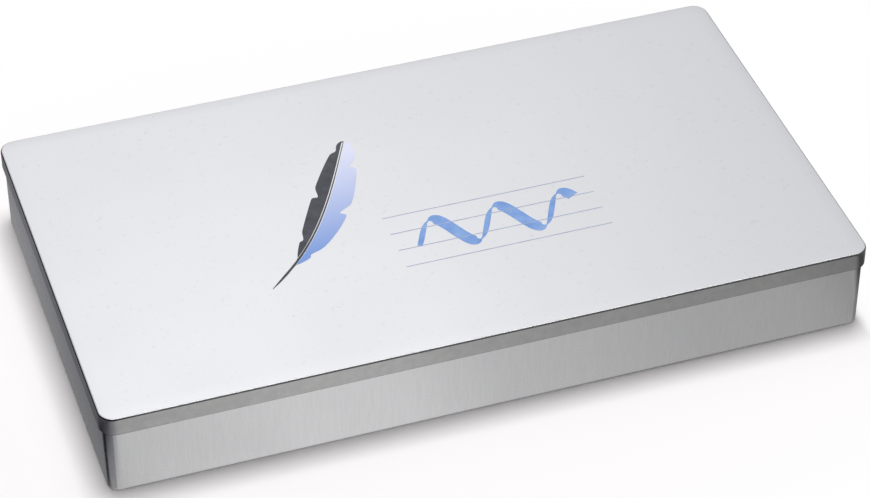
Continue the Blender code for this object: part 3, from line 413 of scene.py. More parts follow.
low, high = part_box("lid_shell")
lid_length, lid_width = high.x - low.x, high.y - low.y
lid_height, skirt_edge = high.z - INK_THICKNESS, low.z
inner_bend = LID_BEND - LID_SHEET
hem = 0.08 * MM  # rounding of the sheet's cut edge
section = bend(LID_BEND, lid_height - LID_BEND, LID_BEND, 90, 180, BEND_STEPS)
section += [(0, lid_height - LID_BEND - SUPPORT), (0, skirt_edge + 2 * hem), (0, skirt_edge + hem)]
section += [(hem, skirt_edge), (LID_SHEET - hem, skirt_edge), (LID_SHEET, skirt_edge + hem)]
section += [(LID_SHEET, lid_height - LID_BEND - SUPPORT)]
section += bend(LID_BEND, lid_height - LID_BEND, inner_bend, 180, 90, BEND_STEPS)
section += [(LID_BEND + SUPPORT, lid_height - LID_SHEET)]

bm = drawn(lid_length, lid_width, LID_CORNER, section)
lid = piece_from(bm, "lid_sheet", lid_top, lid_edge_painted_dark, tinplate)
# Slot 1, the painted dark reflection and shade colour, goes on the bend's lower half and on the hem.
for face in lid.data.polygons:
    is_top = face.center.z > lid_height - 0.001 * MM
    is_hem = face.center.z < skirt_edge + 2 * hem
    if is_top or face.normal.z > 0.80:
        face.material_index = 0
    elif is_hem or face.normal.z > 0.15:
        face.material_index = 1
    else:
        face.material_index = 2
attach(lid, "lid", "lid_metal", "lid_shell")

# %% [markdown]
# ## Base
# The base is drawn the same way from its floor upwards. Its rim is rolled inwards round a full turn and
# more, which stiffens the sheet and hides its cut edge, as on most metal boxes that are opened by hand.

# %% Draw the base
BASE_SHEET, BASE_BEND, BASE_CORNER, RIM_ROLL = 0.4 * MM, 0.6 * MM, 3.45 * MM, 0.8 * MM
ROLL_END = -105
ROLL_STEPS = 18

low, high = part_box("base_shell")
base_length, base_width, base_top = high.x - low.x, high.y - low.y, high.z
wall_top = base_top - RIM_ROLL
section = bend(BASE_BEND, BASE_BEND, BASE_BEND, 270, 180, BEND_STEPS)
section += [(0, BASE_BEND + SUPPORT), (0, wall_top - SUPPORT)]
section += bend(RIM_ROLL, wall_top, RIM_ROLL, 180, ROLL_END, ROLL_STEPS)
section += bend(RIM_ROLL, wall_top, RIM_ROLL - BASE_SHEET, ROLL_END, 180, ROLL_STEPS)
section += [(BASE_SHEET, wall_top - SUPPORT), (BASE_SHEET, BASE_BEND + SUPPORT)]
section += bend(BASE_BEND, BASE_BEND, BASE_BEND - BASE_SHEET, 180, 270, BEND_STEPS)
section += [(BASE_BEND + SUPPORT, BASE_SHEET)]

base = piece_from(drawn(base_length, base_width, BASE_CORNER, section), "base_sheet", brushed, tinplate)
skin = 0.2 * MM
for face in base.data.polygons:
    x, y, z = (abs(value) for value in face.center)
    inside = x < base_length / 2 - skin and y < base_width / 2 - skin and z > BASE_BEND
    face.material_index = 1 if inside or face.normal.z < -0.9 else 0
attach(base, "base", "base_metal", "base_shell")

# %% [markdown]
# ## Print on the lid
# A broad pen is an edge that is dragged along a path: the line is thick where the path crosses the edge and
# thin where it runs along it. A mesh can be made in just that way. An edge is extruded from station to
# station, and the same helper draws the feather, whose edge runs from the shaft to the rim of the vane.


# %% Helper: drag an edge through stations
def dragged(bm, stations):
    """A ribbon through pairs of points. It starts from one edge, which is extruded to each next pair."""
    first, last = (bm.verts.new(point) for point in stations[0])
    edge = bm.edges.new((first, last))
    for near, far in stations[1:]:
        made = bmesh.ops.extrude_edge_only(bm, edges=[edge])["geom"]
        edge = next(item for item in only(EDGE, made) if not {first, last} & set(item.verts))
        ends = edge.verts[:]
        meets_first = any(first in side.verts for side in ends[0].link_edges)
        first, last = ends if meets_first else ends[::-1]
        first.co, last.co = near, far


def inked(name, stations, finish, share=1.0):
    """A ribbon on the lid's top, with a share of the ink's thickness."""
    bm = bmesh.new()
    dragged(bm, stations)
    bmesh.ops.recalc_face_normals(bm, faces=bm.faces)
    made = bmesh.ops.extrude_face_region(bm, geom=bm.faces[:])["geom"]
    bmesh.ops.translate(bm, verts=only(VERT, made), vec=(0, 0, INK_THICKNESS * share))
    attach(piece_from(bm, name, finish), "lid", "lid_metal")


def on_lid(x, y):
    return Vector((x * MM, y * MM, lid_height))


def both_sides(point, across):
    return on_lid(*(point - across)), on_lid(*(point + across))


def square_to(line, low, high):
    """The directions along a line between two shares of it, and square to it."""
    along = (line(high) - line(low)).normalized()
    return along, Vector((along.y, -along.x))


# %% Inks
blues = (0.20, 0.34, 0.68), 0.42, 0.35, (0.16, 0.30, 0.65), (0.27, 0.43, 0.76)
blue_ink = grained("blue_ink", *blues, (0.004, 4.0))
greys = (0.05, 0.052, 0.065), 0.42, 0.2, (0.04, 0.042, 0.055), (0.07, 0.072, 0.085)
grey_ink = grained("dark_grey_ink", *greys, (0.003,))
line_blues = (0.38, 0.43, 0.60), 0.42, 0.4, (0.33, 0.38, 0.55), (0.45, 0.50, 0.66)
line_ink = grained("guide_line_ink", *line_blues, (0.002,))
pale_ink, tree, shader = new_finish("lavender_ink", (0.52, 0.58, 0.87), 0.42, 0.35)
upwards = spread(tree, coordinates(tree)[1], "Y", -0.014, 0.030)
vary_colour(tree, shader, upwards, (0.20, 0.33, 0.70), (0.74, 0.76, 0.93), 0.0, 0.9)
print("inks", [ink.name for ink in (blue_ink, grey_ink, line_ink, pale_ink)])

# %% Draw the pen stroke, the guide lines and the feather
WAVE_STEPS, VANE_STEPS, SHAFT_STEPS = 120, 80, 60
WAVES, WAVE_PHASE = 2.5, 0.6
WAVE_START, WAVE_LENGTH, WAVE_RISE = Vector((-8, -16)), 46, 6.2  # mm on the lid, from its middle
PEN_ANGLE = math.radians(40)
STROKE_HALF, HAIRLINE = 1.9, 0.22
GUIDE_LINES, GUIDE_ENDS, GUIDE_HALF = (-26.5, -19.5, -12.5, -5.5), (-14, 44), 0.12
SHAFT_START, SHAFT_RISE, SHAFT_BOW = Vector((-50, -24)), Vector((36, 54)), 7
SHAFT_HALF, BARB_LEAN, SPLIT_DEPTH = 0.45, 0.8, 0.35


def wave_point(share):
    rise = WAVE_RISE * math.sin(WAVES * math.tau * share - WAVE_PHASE)
    return Vector((WAVE_START.x + WAVE_LENGTH * share, WAVE_START.y + rise))


wave = []
for share in shares(WAVE_STEPS):
    along, across = square_to(wave_point, share - 0.002, share + 0.002)
    slant = abs(math.sin(math.atan2(along.y, along.x) - PEN_ANGLE))
    wave.append(both_sides(wave_point(share), across * max(HAIRLINE, STROKE_HALF * slant)))
inked("print_pen_stroke", wave, blue_ink, 0.7)

for index, y in enumerate(GUIDE_LINES):
    line = [(on_lid(x, y - GUIDE_HALF), on_lid(x, y + GUIDE_HALF)) for x in GUIDE_ENDS]
    inked("print_guide_line_" + str(index + 1), line, line_ink)


def shaft_point(share):
    """The feather's shaft, from its point to its top."""
    bow = SHAFT_BOW * math.sin(math.pi * share)
    return Vector((SHAFT_START.x + SHAFT_RISE.x * share, SHAFT_START.y + SHAFT_RISE.y * share - bow))


def vane(side, width, start):
    """Stations of one half of the vane, with splits where the barbs have parted."""
    stations = []
    for part in shares(VANE_STEPS):
        share = start + (1 - start) * part
        along, across = square_to(shaft_point, share - 0.01, min(share + 0.01, 1.0))
        across *= side
        reach = width * math.sin(math.pi * (share - start) / (1 - start)) ** 0.55
        reach *= 1 - SPLIT_DEPTH * max(0, math.sin(share * 23 + side)) ** 9
        point = shaft_point(share)
        tip = point + across * max(reach, 0.05) + along * reach * BARB_LEAN
        stations.append((on_lid(*(point + across * SHAFT_HALF)), on_lid(*tip)))
    return stations


for name, ink, *sizes in (("light", pale_ink, 1, 6.5, 0.22), ("dark", grey_ink, -1, 4.6, 0.27)):
    inked("print_feather_" + name + "_vane", vane(*sizes), ink)
shaft = []
for share in shares(SHAFT_STEPS):
    half = 0.08 + 0.34 * math.sin(math.pi * min(0.5, share * 3.0)) * (1.05 - share)
    shaft.append(both_sides(shaft_point(share), square_to(shaft_point, share - 0.01, share + 0.01)[1] * half))
inked("print_feather_shaft", shaft, grey_ink)

# %% [markdown]
# ## Turned pieces
# The pen, its cap, the cartridges and the nib holders are round, as if turned on a lathe. A lathe cuts a
# profile, and bmesh does the same with a spin: the profile is drawn once, as points along the axis and out
# from it, and the spin carries it round the X axis. A Bevel modifier then breaks each sharp rim, as moulding
# and polishing do.


# %% Helpers: spin a profile, break its edges and put it in its place
TURN_STEPS = 64


def chain(bm, points, closed=False):
    """Edges from each point to the next."""
    row = [bm.verts.new(point) for point in points]
    return [bm.edges.new(pair) for pair in zip(row, row[1:] + row[:1] * closed)]


def spun(profile, steps=TURN_STEPS, start=0.0, turn=math.tau):
    """A bmesh with a profile of (along, radius) points in metres, spun about the X axis."""
    bm = bmesh.new()
    sine, cosine, whole = math.sin(start), math.cos(start), turn == math.tau
    points = [(along, -radius * sine, radius * cosine) for along, radius in profile]
    edges = chain(bm, points, whole and profile[0][1] > 0)
    about = {"cent": (0, 0, 0), "axis": (1, 0, 0), "angle": turn, "steps": steps, "use_merge": whole}
    bmesh.ops.spin(bm, geom=bm.verts[:] + edges, **about)
    return bm


def break_edges(piece, width, segments=2, angle=SHARP_ANGLE):
    """A small bevel on every edge that is sharper than the angle."""
    made = piece.modifiers.new("broken_edges", "BEVEL")
    made.width, made.segments, made.profile = width, segments, 0.5
    made.limit_method, made.angle_limit = "ANGLE", angle
    made.use_clamp_overlap = True


def put(bm, place, flip=False):
    """Moves a form to its place. If it is flipped, it is turned end for end first."""
    if flip:
        bmesh.ops.rotate(bm, verts=bm.verts, cent=(0, 0, 0), matrix=Matrix.Rotation(math.pi, 3, "Z"))
    bmesh.ops.translate(bm, verts=bm.verts, vec=place)


def turned(node, slot, place, profile, finish, edge=0.15 * MM, flip=False):
    """A spun piece with a profile in millimetres. The base carries it, and it replaces a node."""
    bm = spun([(along * MM, radius * MM) for along, radius in profile])
    put(bm, place, flip)
    piece = piece_from(bm, node + "_turned", finish)
    break_edges(piece, edge)
    attach(piece, "base", slot, node)


def start_of(node, flip=False):
    """The point on a turned node's axis at its low X end, or at its high one if it is flipped."""
    low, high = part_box(node)
    return Vector((high.x if flip else low.x, (low.y + high.y) / 2, (low.z + high.z) / 2))


# %% Finishes of plastic, steel, ink and flock
blacks = (0.012, 0.012, 0.014), 0.14, 0.0, (0.009, 0.009, 0.011), (0.017, 0.017, 0.020)
black_gloss = grained("black_gloss_plastic", *blacks, (0.0015, 3.0), (0.1, 0.2, 0.006, 4.0), Coat_Weight=0.5)
black_matt, tree, shader = new_finish("black_matt_plastic", (0.022, 0.022, 0.024), 0.5)
fine = grain(tree, 0.00025)
vary_colour(tree, shader, fine, (0.017, 0.017, 0.019), (0.030, 0.030, 0.033))
vary_roughness(tree, shader, fine, 0.44, 0.58)
raise_surface(tree, shader, fine, 0.00002)
whites = (0.70, 0.70, 0.68), 0.42, 0.0, (0.66, 0.66, 0.64), (0.74, 0.74, 0.72)
milky = grained("milky_plastic", *whites, (0.003,), Subsurface_Weight=0.2)
blues = (0.02, 0.08, 0.50), 0.16, 0.0, (0.012, 0.05, 0.42), (0.03, 0.12, 0.60)
cartridge_blue = grained("blue_cartridge", *blues, (0.008, 3.0), (0.12, 0.22, 0.004, 3.0), Coat_Weight=0.3)
blues = (0.08, 0.20, 0.60), 0.18, 0.0, (0.07, 0.18, 0.56), (0.10, 0.24, 0.66)
finial_blue = grained("blue_plastic", *blues, (0.004,), Coat_Weight=0.4)
greys = (0.72, 0.73, 0.74), 0.14, 1.0, (0.68, 0.69, 0.70), (0.76, 0.77, 0.78)
polished = grained("polished_steel", *greys, (0.002,), (0.10, 0.20, 0.0008, 4.0))
greys = (0.52, 0.53, 0.55), 0.30, 1.0, (0.42, 0.43, 0.44), (0.47, 0.48, 0.49)
hinge_steel = grained("hinge_steel", *greys, (0.0012, 4.0), (0.28, 0.34, 0.0006, 4.0))

sheen = {"Sheen_Weight": 0.6, "Sheen_Roughness": 0.4}
flock, tree, shader = new_finish("grey_flock", (0.14, 0.145, 0.155), 0.95, **sheen)
fibres, nap = grain(tree, 0.0005, 4.0), grain(tree, 0.006)
most = maths(tree, "MULTIPLY", (fibres, 0), 0.80)
both_masks = maths(tree, "MULTIPLY_ADD", (nap, 0), 0.20, (most, 0))
vary_colour(tree, shader, both_masks, (0.095, 0.098, 0.105), (0.185, 0.19, 0.20), 0.36, 0.64)
raise_surface(tree, shader, fibres, 0.0003)

foam, tree, shader = new_finish("charcoal_foam", (0.06, 0.06, 0.065), 0.95, Sheen_Weight=0.2)
pores = grain(tree, 0.0007, 3.0)
vary_colour(tree, shader, pores, (0.025, 0.025, 0.028), (0.085, 0.085, 0.09))
raise_surface(tree, shader, pores, 0.0004)
print("finishes", [made.name for made in bpy.data.materials])

# %% Pen and cap
pen_tail = start_of("pen_barrel")
BARREL = 127.0
CAP_LIP, CAP_END = 124.0, 184.0
BARREL_PROFILE = [
    (0, 0), (0, 1.2), (0.25, 1.85), (0.7, 2.25), (1.2, 2.4), (4.0, 2.53), (62, 5.0), (118, 5.46),
    (BARREL, 5.5), (BARREL, 4.55), (117, 4.55), (117, 3.7), (62, 3.7), (8, 1.4), (8, 0),
]
turned("pen_barrel", "gloss_black_plastic", pen_tail, BARREL_PROFILE, black_gloss)
CAP_PROFILE = [
    (CAP_LIP + 3.4, 5.8), (CAP_LIP + 3.4, 6.92), (CAP_LIP + 3.8, 6.98), (CAP_END - 0.5, 6.6),
    (CAP_END, 6.1), (CAP_END, 2.2), (CAP_END - 2.5, 2.2), (CAP_END - 2.5, 5.8),
]
turned("pen_cap", "gloss_black_plastic", pen_tail, CAP_PROFILE, black_gloss)
BAND_PROFILE = [
    (0, 5.8), (0, 6.6), (0.4, 6.95), (1.2, 7.0), (1.3, 6.85), (1.7, 6.85), (1.8, 7.0), (3.3, 7.0), (3.3, 5.8),
]
bm = spun([((CAP_LIP + along) * MM, radius * MM) for along, radius in BAND_PROFILE])
put(bm, pen_tail)
band = piece_from(bm, "pen_cap_band", polished)
break_edges(band, 0.08 * MM)
attach(band, "base", "polished_steel")
FINIAL_PROFILE = [
    (181.7, 0), (181.7, 1.9), (184.9, 1.9), (184.9, 6.0), (186.1, 6.0), (186.4, 5.6), (186.6, 4.9),
    (186.7, 3.5), (186.7, 0),
]
turned("pen_finial", "blue_plastic", pen_tail, FINIAL_PROFILE, finial_blue)

# %% Cartridges and nib holders
CARTRIDGES = ["ink_cartridge_" + str(number) for number in (1, 2, 3, 4, 5)]
CARTRIDGE_PROFILE = [
    (0, 0), (0, 2.5), (0.15, 2.95), (0.45, 3.25), (0.9, 3.4), (56, 3.4), (57.2, 3.25), (58.4, 2.6), (59, 2.3),
    (63.2, 2.3), (63.2, 2.0), (63.8, 2.0), (63.8, 2.3), (65, 2.3), (65, 1.5), (59, 1.5), (59, 0),
]
CARTRIDGE_EDGE = 0.1 * MM  # less than half of the neck's groove
for name in CARTRIDGES:
    turned(name, "blue_cartridge", start_of(name), CARTRIDGE_PROFILE, cartridge_blue, CARTRIDGE_EDGE)
HOLDER_PROFILE = [(0, 0), (0, 3.9), (0.6, 4.2)]
for groove in (2.5, 4.5, 6.5, 8.5, 10.5):
    HOLDER_PROFILE += [(groove, 4.2), (groove + 0.2, 3.95), (groove + 0.8, 3.95), (groove + 1.0, 4.2)]
HOLDER_PROFILE += [(13.4, 4.2), (14, 3.6), (14, 2.7), (23.5, 2.7), (24, 2.2), (24, 0)]
for size, flip in (("narrow", True), ("wide", False)):
    name = "nib_holder_" + size
    turned(name, "matt_black_plastic", start_of(name, flip), HOLDER_PROFILE, black_matt, flip=flip)

# %% [markdown]
# ## Cutting with Booleans
# Some pieces are a form with other forms joined to it or taken away. The forms are made the same way as any
# piece, a Boolean modifier combines them, and the result is stored as the piece's own mesh.


# %% Helpers: a box that cuts, and Booleans
def block(size, centre):
    """A bmesh with one box, which is only used to cut."""
    bm = bmesh.new()
    bmesh.ops.create_cube(bm, size=1.0)
    bmesh.ops.scale(bm, verts=bm.verts, vec=size)
    bmesh.ops.translate(bm, verts=bm.verts, vec=centre)
    return bm


def combine(piece, operation, forms):
    for form in forms:
        made = piece.modifiers.new(form.name, "BOOLEAN")
        made.operation, made.object, made.solver = operation, form, "EXACT"
    mesh = bpy.data.meshes.new_from_object(piece.evaluated_get(bpy.context.evaluated_depsgraph_get()))
    piece.modifiers.clear()
    piece.data = mesh
    for form in forms:
        bpy.data.objects.remove(form)


# %% [markdown]
# ## Nibs
# A broad nib is a piece of thin steel rolled over the feed. One arc of edges is extruded from the root to
# the tip and narrowed as it goes, and Solidify gives it the sheet's thickness.


# %% Make the spare nibs
NIB_SHEET = 0.3 * MM
NIB_RADIUS = 3.0 * MM  # of the sheet's middle
NIB_OUTSIDE = 3.15  # mm
NIB_SHOULDER, NIB_TINES, SHOULDER_WRAP = 15, 12, 60.8  # mm, mm and degrees each side
HOLE_RADIUS, SLIT_WIDTH = 0.6 * MM, 0.16 * MM
ARC_STEPS, TINE_STEPS = 28, 12
TINY = 0.004 * MM  # edges that the cuts leave and nobody sees


def arc_point(x, angle):
    return Vector((x * MM, NIB_RADIUS * math.sin(angle), NIB_RADIUS * math.cos(angle)))


for size, tip_width, flip in (("narrow", 1.1, True), ("wide", 1.9, False)):
    name = "spare_nib_" + size
    tip_wrap = math.degrees(math.asin(tip_width / 2 / NIB_OUTSIDE))
    stations = [(0, 76.0), (0.3, 76.0), (11, 76.0), (12.5, 71.5), (NIB_SHOULDER, SHOULDER_WRAP)]
    for share in shares(TINE_STEPS)[1:]:
        wrap = SHOULDER_WRAP + (tip_wrap - SHOULDER_WRAP) * share ** 0.9
        stations.append((NIB_SHOULDER + NIB_TINES * share, wrap))
    bm = bmesh.new()
    half_turn = math.radians(stations[0][1])
    turns = [half_turn * (2 * share - 1) for share in shares(ARC_STEPS)]
    edges = chain(bm, [arc_point(0, turn) for turn in turns])
    for (_, old), (x, wrap) in zip(stations, stations[1:]):
        made = bmesh.ops.extrude_edge_only(bm, edges=edges)["geom"]
        fresh = set(only(VERT, made))
        edges = [edge for edge in only(EDGE, made) if set(edge.verts) <= fresh]
        for vert in fresh:
            vert.co = arc_point(x, math.atan2(vert.co.y, vert.co.z) * wrap / old)
    place = start_of(name, flip)
    place.z = start_of("nib_holder_" + size).z
    put(bm, place, flip)
    bmesh.ops.recalc_face_normals(bm, faces=bm.faces)
    bmesh.ops.solidify(bm, geom=bm.faces[:], thickness=NIB_SHEET)
    nib = piece_from(bm, name + "_rolled", polished)
    side = -1 if flip else 1
    bm = bmesh.new()
    drill = {"segments": 24, "radius1": HOLE_RADIUS, "radius2": HOLE_RADIUS, "depth": 4 * MM}
    bmesh.ops.create_cone(bm, cap_ends=True, **drill)
    put(bm, place + Vector((side * NIB_SHOULDER * MM, 0, NIB_RADIUS)))
    hole = form_from(bm, "hole")
    slit_middle = place + Vector((side * 21.05 * MM, 0, NIB_RADIUS))
    slit = form_from(block((12.1 * MM, SLIT_WIDTH, 4 * MM), slit_middle), "slit")
    combine(nib, "DIFFERENCE", (hole, slit))
    bm = bmesh.new()
    bm.from_mesh(nib.data)
    bmesh.ops.remove_doubles(bm, verts=bm.verts, dist=TINY)
    bmesh.ops.dissolve_degenerate(bm, edges=bm.edges, dist=TINY)
    bmesh.ops.triangulate(bm, faces=[face for face in bm.faces if len(face.verts) > 4])
    bm.to_mesh(nib.data)
    bm.free()
    attach(nib, "base", "polished_steel", name)

# %% [markdown]
# ## Clip
# The clip is one strip of steel, bent over the cap's end. A short chain of edges is its path, extruded to
# its width, and Solidify gives the thickness.

# %% Bend the clip
CLIP_HALF, CLIP_SHEET = 1.8 * MM, 0.7 * MM
CLIP_PATH = [
    (184.45, 0.6), (184.45, 7.6), (184.4, 8.6), (184.1, 9.3), (183.4, 9.65), (182.4, 9.75), (149.8, 9.75),
    (149.0, 9.6), (148.2, 9.1), (147.3, 7.9), (146.9, 7.7), (146.4, 7.75), (145.6, 8.1), (144.8, 8.45),
]  # mm along the pen and up from its axis
bm = bmesh.new()
edges = chain(bm, [(x * MM, -CLIP_HALF, z * MM) for x, z in CLIP_PATH])
made = bmesh.ops.extrude_edge_only(bm, edges=edges)["geom"]
bmesh.ops.translate(bm, verts=only(VERT, made), vec=(0, 2 * CLIP_HALF, 0))
put(bm, pen_tail)
clip = piece_from(bm, "pen_clip_strip", polished)
solid = clip.modifiers.new("sheet", "SOLIDIFY")
solid.thickness, solid.offset = CLIP_SHEET, 0
break_edges(clip, 0.15 * MM)
attach(clip, "base", "polished_steel", "pen_clip")

# %% [markdown]
# ## Tray
# The tray is moulded from thin sheet and flocked. Its pockets are cut with Booleans from forms that are the
# shapes of what they hold, a little larger: a half spin extruded upwards for a round thing, and a swept
# round rectangle for the finger wells. Each outer form is joined on first and its inner form cut out after,
# which leaves the sheet.


# %% Helpers: forms of the pockets
TRAY_SHEET = 0.7 * MM
TRAY_CORNER, WELL_CORNER, WELL_ROUND, WELL_FLOOR = 4 * MM, 5 * MM, 1.2 * MM, 4.4 * MM
CLEARANCE, END_CLEARANCE = 0.3 * MM, 0.6 * MM
low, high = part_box("insert_tray")
tray_length, tray_width, tray_foot, deck = high.x - low.x, high.y - low.y, low.z, high.z


def trough(stations, y, axis_z, grow, top):
    """The lower half of a turned form, with its open top drawn up to a height."""
    first, last = stations[0], stations[-1]
    profile = [(first[0] - grow, 0)] + [(x + end * grow, radius + grow) for x, radius, end in stations]
    profile.append((last[0] + grow, 0))
    bm = spun(profile, steps=32, start=math.pi / 2, turn=math.pi)
    bmesh.ops.remove_doubles(bm, verts=bm.verts, dist=0.001 * MM)
    rim = [edge for edge in bm.edges if edge.is_boundary]
    made = bmesh.ops.extrude_edge_only(bm, edges=rim)["geom"]
    put(bm, (0, y, axis_z))
    for vert in only(VERT, made):
        vert.co.z = top
    bmesh.ops.contextual_create(bm, geom=[edge for edge in bm.edges if edge.is_boundary])
    return bm


def well(length, width, x, y, grow, top):
    """A rectangle with round corners and a rounded floor edge."""
    section = bend(WELL_ROUND, WELL_FLOOR - grow + WELL_ROUND, WELL_ROUND, 270, 180, 6) + [(0, top)]
    bm = drawn(length + 2 * grow, width + 2 * grow, WELL_CORNER + grow, section)
    put(bm, (x, y, 0))
    return bm


# %% Mould the tray
PEN_RADII = 2.4 * MM, 5.0 * MM, 5.5 * MM, 7.0 * MM  # at the tail, taper's end and grip, and of the cap
CARTRIDGE_RADIUS, HOLDER_RADIUS = 3.4 * MM, 4.2 * MM
PEN_WELL, NIB_WELL = (28 * MM, 33 * MM), (20 * MM, 20.4 * MM)
CARTRIDGE_WELL_LENGTH, CARTRIDGE_WELL_REACH = 20 * MM, 7 * MM
TAPER_END, PEN_WELL_FROM_LIP, CARTRIDGE_WELL_AT = 62 * MM, 22 * MM, 28 * MM


def plain_stations(low, high, radius):
    """The stations of a trough that is equally wide all along."""
    wide = radius + CLEARANCE
    return [(low.x - END_CLEARANCE, wide, -1), (high.x + END_CLEARANCE, wide, 1)]


tail, taper, grip, cap = (radius + CLEARANCE for radius in PEN_RADII)
pen_axis = start_of("pen_cap")
cap_lip = pen_axis.x
pen_stations = [
    (pen_tail.x - END_CLEARANCE, tail, -1),
    (pen_tail.x + TAPER_END, taper, 0),
    (cap_lip - END_CLEARANCE, grip, -1),
    (cap_lip - END_CLEARANCE, cap, -1),
    (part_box("pen_finial")[1].x + END_CLEARANCE, cap, 1),
]
pockets = [(trough, pen_stations, *pen_axis.yz)]
pockets.append((well, *PEN_WELL, cap_lip - PEN_WELL_FROM_LIP, pen_axis.y))
for name in CARTRIDGES:
    pockets.append((trough, plain_stations(*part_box(name), CARTRIDGE_RADIUS), *start_of(name).yz))
row_low, row_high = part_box(CARTRIDGES[0])[0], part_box(CARTRIDGES[-1])[1]
row_y = (row_low.y + row_high.y) / 2
row_width = row_high.y - row_low.y + 2 * (CLEARANCE + CARTRIDGE_WELL_REACH)
pockets.append((well, CARTRIDGE_WELL_LENGTH, row_width, row_low.x + CARTRIDGE_WELL_AT, row_y))
low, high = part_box("spare_nib_narrow")[0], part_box("spare_nib_wide")[1]
nib_stations = plain_stations(low, high, HOLDER_RADIUS)
pockets.append((trough, nib_stations, row_y, start_of("nib_holder_wide").z))
pockets.append((well, *NIB_WELL, (low.x + high.x) / 2, row_y))

outer, inner = [], []
for index, (shape, *sizes) in enumerate(pockets):
    for forms, grow, top in ((outer, TRAY_SHEET, deck - TRAY_SHEET / 2), (inner, 0, deck + 2 * MM)):
        forms.append(form_from(shape(*sizes, grow, top), "form_" + str(index)))
section = [(0, deck), (0, tray_foot), (TRAY_SHEET, tray_foot), (TRAY_SHEET, deck - TRAY_SHEET)]
tray = piece_from(drawn(tray_length, tray_width, TRAY_CORNER, section), "insert_tray_flocked", flock)
combine(tray, "UNION", outer)
combine(tray, "DIFFERENCE", inner)
tray.data.materials.clear()
tray.data.materials.append(flock)
tray.data.shade_smooth()
tray.data.set_sharp_from_angle(angle=SHARP_ANGLE)
break_edges(tray, 0.25 * MM, segments=3, angle=math.radians(50))
attach(tray, "base", "tray_flock", "insert_tray")

# %% [markdown]
# ## Foam pad
# A thin sheet of foam is glued under the lid and keeps the pen from rattling. Its cut edges are soft.

# %% Cut the foam
PAD_CORNER, PAD_ROUND, PAD_TOP_ROUND = 3 * MM, 0.9 * MM, 0.2 * MM
low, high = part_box("lid_foam_pad")
size = high - low
section = bend(PAD_ROUND, low.z + PAD_ROUND, PAD_ROUND, 270, 180, 6)
section += [(0, high.z - PAD_TOP_ROUND), (PAD_TOP_ROUND, high.z)]
pad = piece_from(drawn(size.x, size.y, PAD_CORNER, section), "lid_foam_sheet", foam)
attach(pad, "lid", "pad_foam", "lid_foam_pad")

# %% [markdown]
# ## Hinges
# Each leaf is steel strip that is rolled round the pin at its end. The strip's outline is filled and
# extruded along the pin, and the roll is notched where the other leaf's knuckle turns. A lug on the lid's
# roll meets the base's wall when the lid is open.


# %% Roll the leaves and fit the pins
PIN_AXIS = Vector((0, 59.95, 18.5)) * MM
ROLL_OUTSIDE, ROLL_BORE = 1.1 * MM, 0.7 * MM
HINGE_HALF = 11 * MM
BASE_LEAF_DROP, LID_LEAF_RISE = 7.2 * MM, 5.6 * MM
BASE_LEAF_END, LID_LEAF_END, LID_OPEN = -115, -205, 110  # degrees
LUG, LUG_BACK, LUG_TO_WALL = ROLL_OUTSIDE + 0.36 * MM, 10, 1.1 * MM
LEAF_STEPS = 30


def leaf(name, body, centre, outline, notches):
    bm = bmesh.new()
    edges = chain(bm, [(-HINGE_HALF, y, z) for y, z in outline], closed=True)
    face = bmesh.ops.contextual_create(bm, geom=edges)["faces"]
    made = bmesh.ops.extrude_face_region(bm, geom=face)["geom"]
    bmesh.ops.translate(bm, verts=only(VERT, made), vec=(2 * HINGE_HALF, 0, 0))
    put(bm, centre)
    piece = piece_from(bm, name + "_rolled", hinge_steel)
    cutters = []
    for start, end, bottom, top in notches:
        size = Vector((end - start, 8 * MM, top - bottom))
        middle = centre + Vector(((start + end) / 2, 0, (bottom + top) / 2))
        cutters.append(form_from(block(size, middle), "notch"))
    combine(piece, "DIFFERENCE", cutters)
    piece.data.set_sharp_from_angle(angle=SHARP_ANGLE)
    break_edges(piece, 0.06 * MM)
    attach(piece, body, "hinge_steel", name)


def roll(radius, start, end, steps=LEAF_STEPS):
    """(y, z) points about the pin, with angles in degrees from the rear."""
    return bend(0, 0, radius, start, end, steps)


base_outline = [(-ROLL_OUTSIDE, -BASE_LEAF_DROP)] + roll(ROLL_OUTSIDE, 180, BASE_LEAF_END)
base_outline += roll(ROLL_BORE, BASE_LEAF_END, 180) + [(-ROLL_BORE, -BASE_LEAF_DROP)]
front, rear = -0.35 * MM, 0.05 * MM
plate_at, root_at = math.degrees(math.acos(rear / ROLL_OUTSIDE)), math.degrees(math.acos(front / ROLL_BORE))
lug_at = LID_OPEN + math.degrees(math.acos(LUG_TO_WALL / LUG)) - 180
lug_from = lug_at + math.degrees(math.acos(ROLL_OUTSIDE / LUG))
lid_outline = [(front, LID_LEAF_RISE), (rear, LID_LEAF_RISE)] + roll(ROLL_OUTSIDE, plate_at, lug_from, 14)
lid_outline += roll(LUG, lug_at, lug_at, 1)[:1] + roll(ROLL_OUTSIDE, lug_at - LUG_BACK, LID_LEAF_END)
lid_outline += roll(ROLL_BORE, LID_LEAF_END, root_at)
PIN_PROFILE = [
    (-11.5, 0), (-11.5, 0.6), (-11.35, 0.9), (-11.1, 1.0), (-11.1, 0.6),
    (11.1, 0.6), (11.1, 1.0), (11.35, 0.9), (11.5, 0.6), (11.5, 0),
]
KNUCKLE_HALF, KNUCKLE_GAP, REACH = 3.8 * MM, 0.3 * MM, 3.1 * MM
CLEAR = ROLL_OUTSIDE + KNUCKLE_GAP
far, gap = HINGE_HALF + 2 * MM, KNUCKLE_HALF + KNUCKLE_GAP
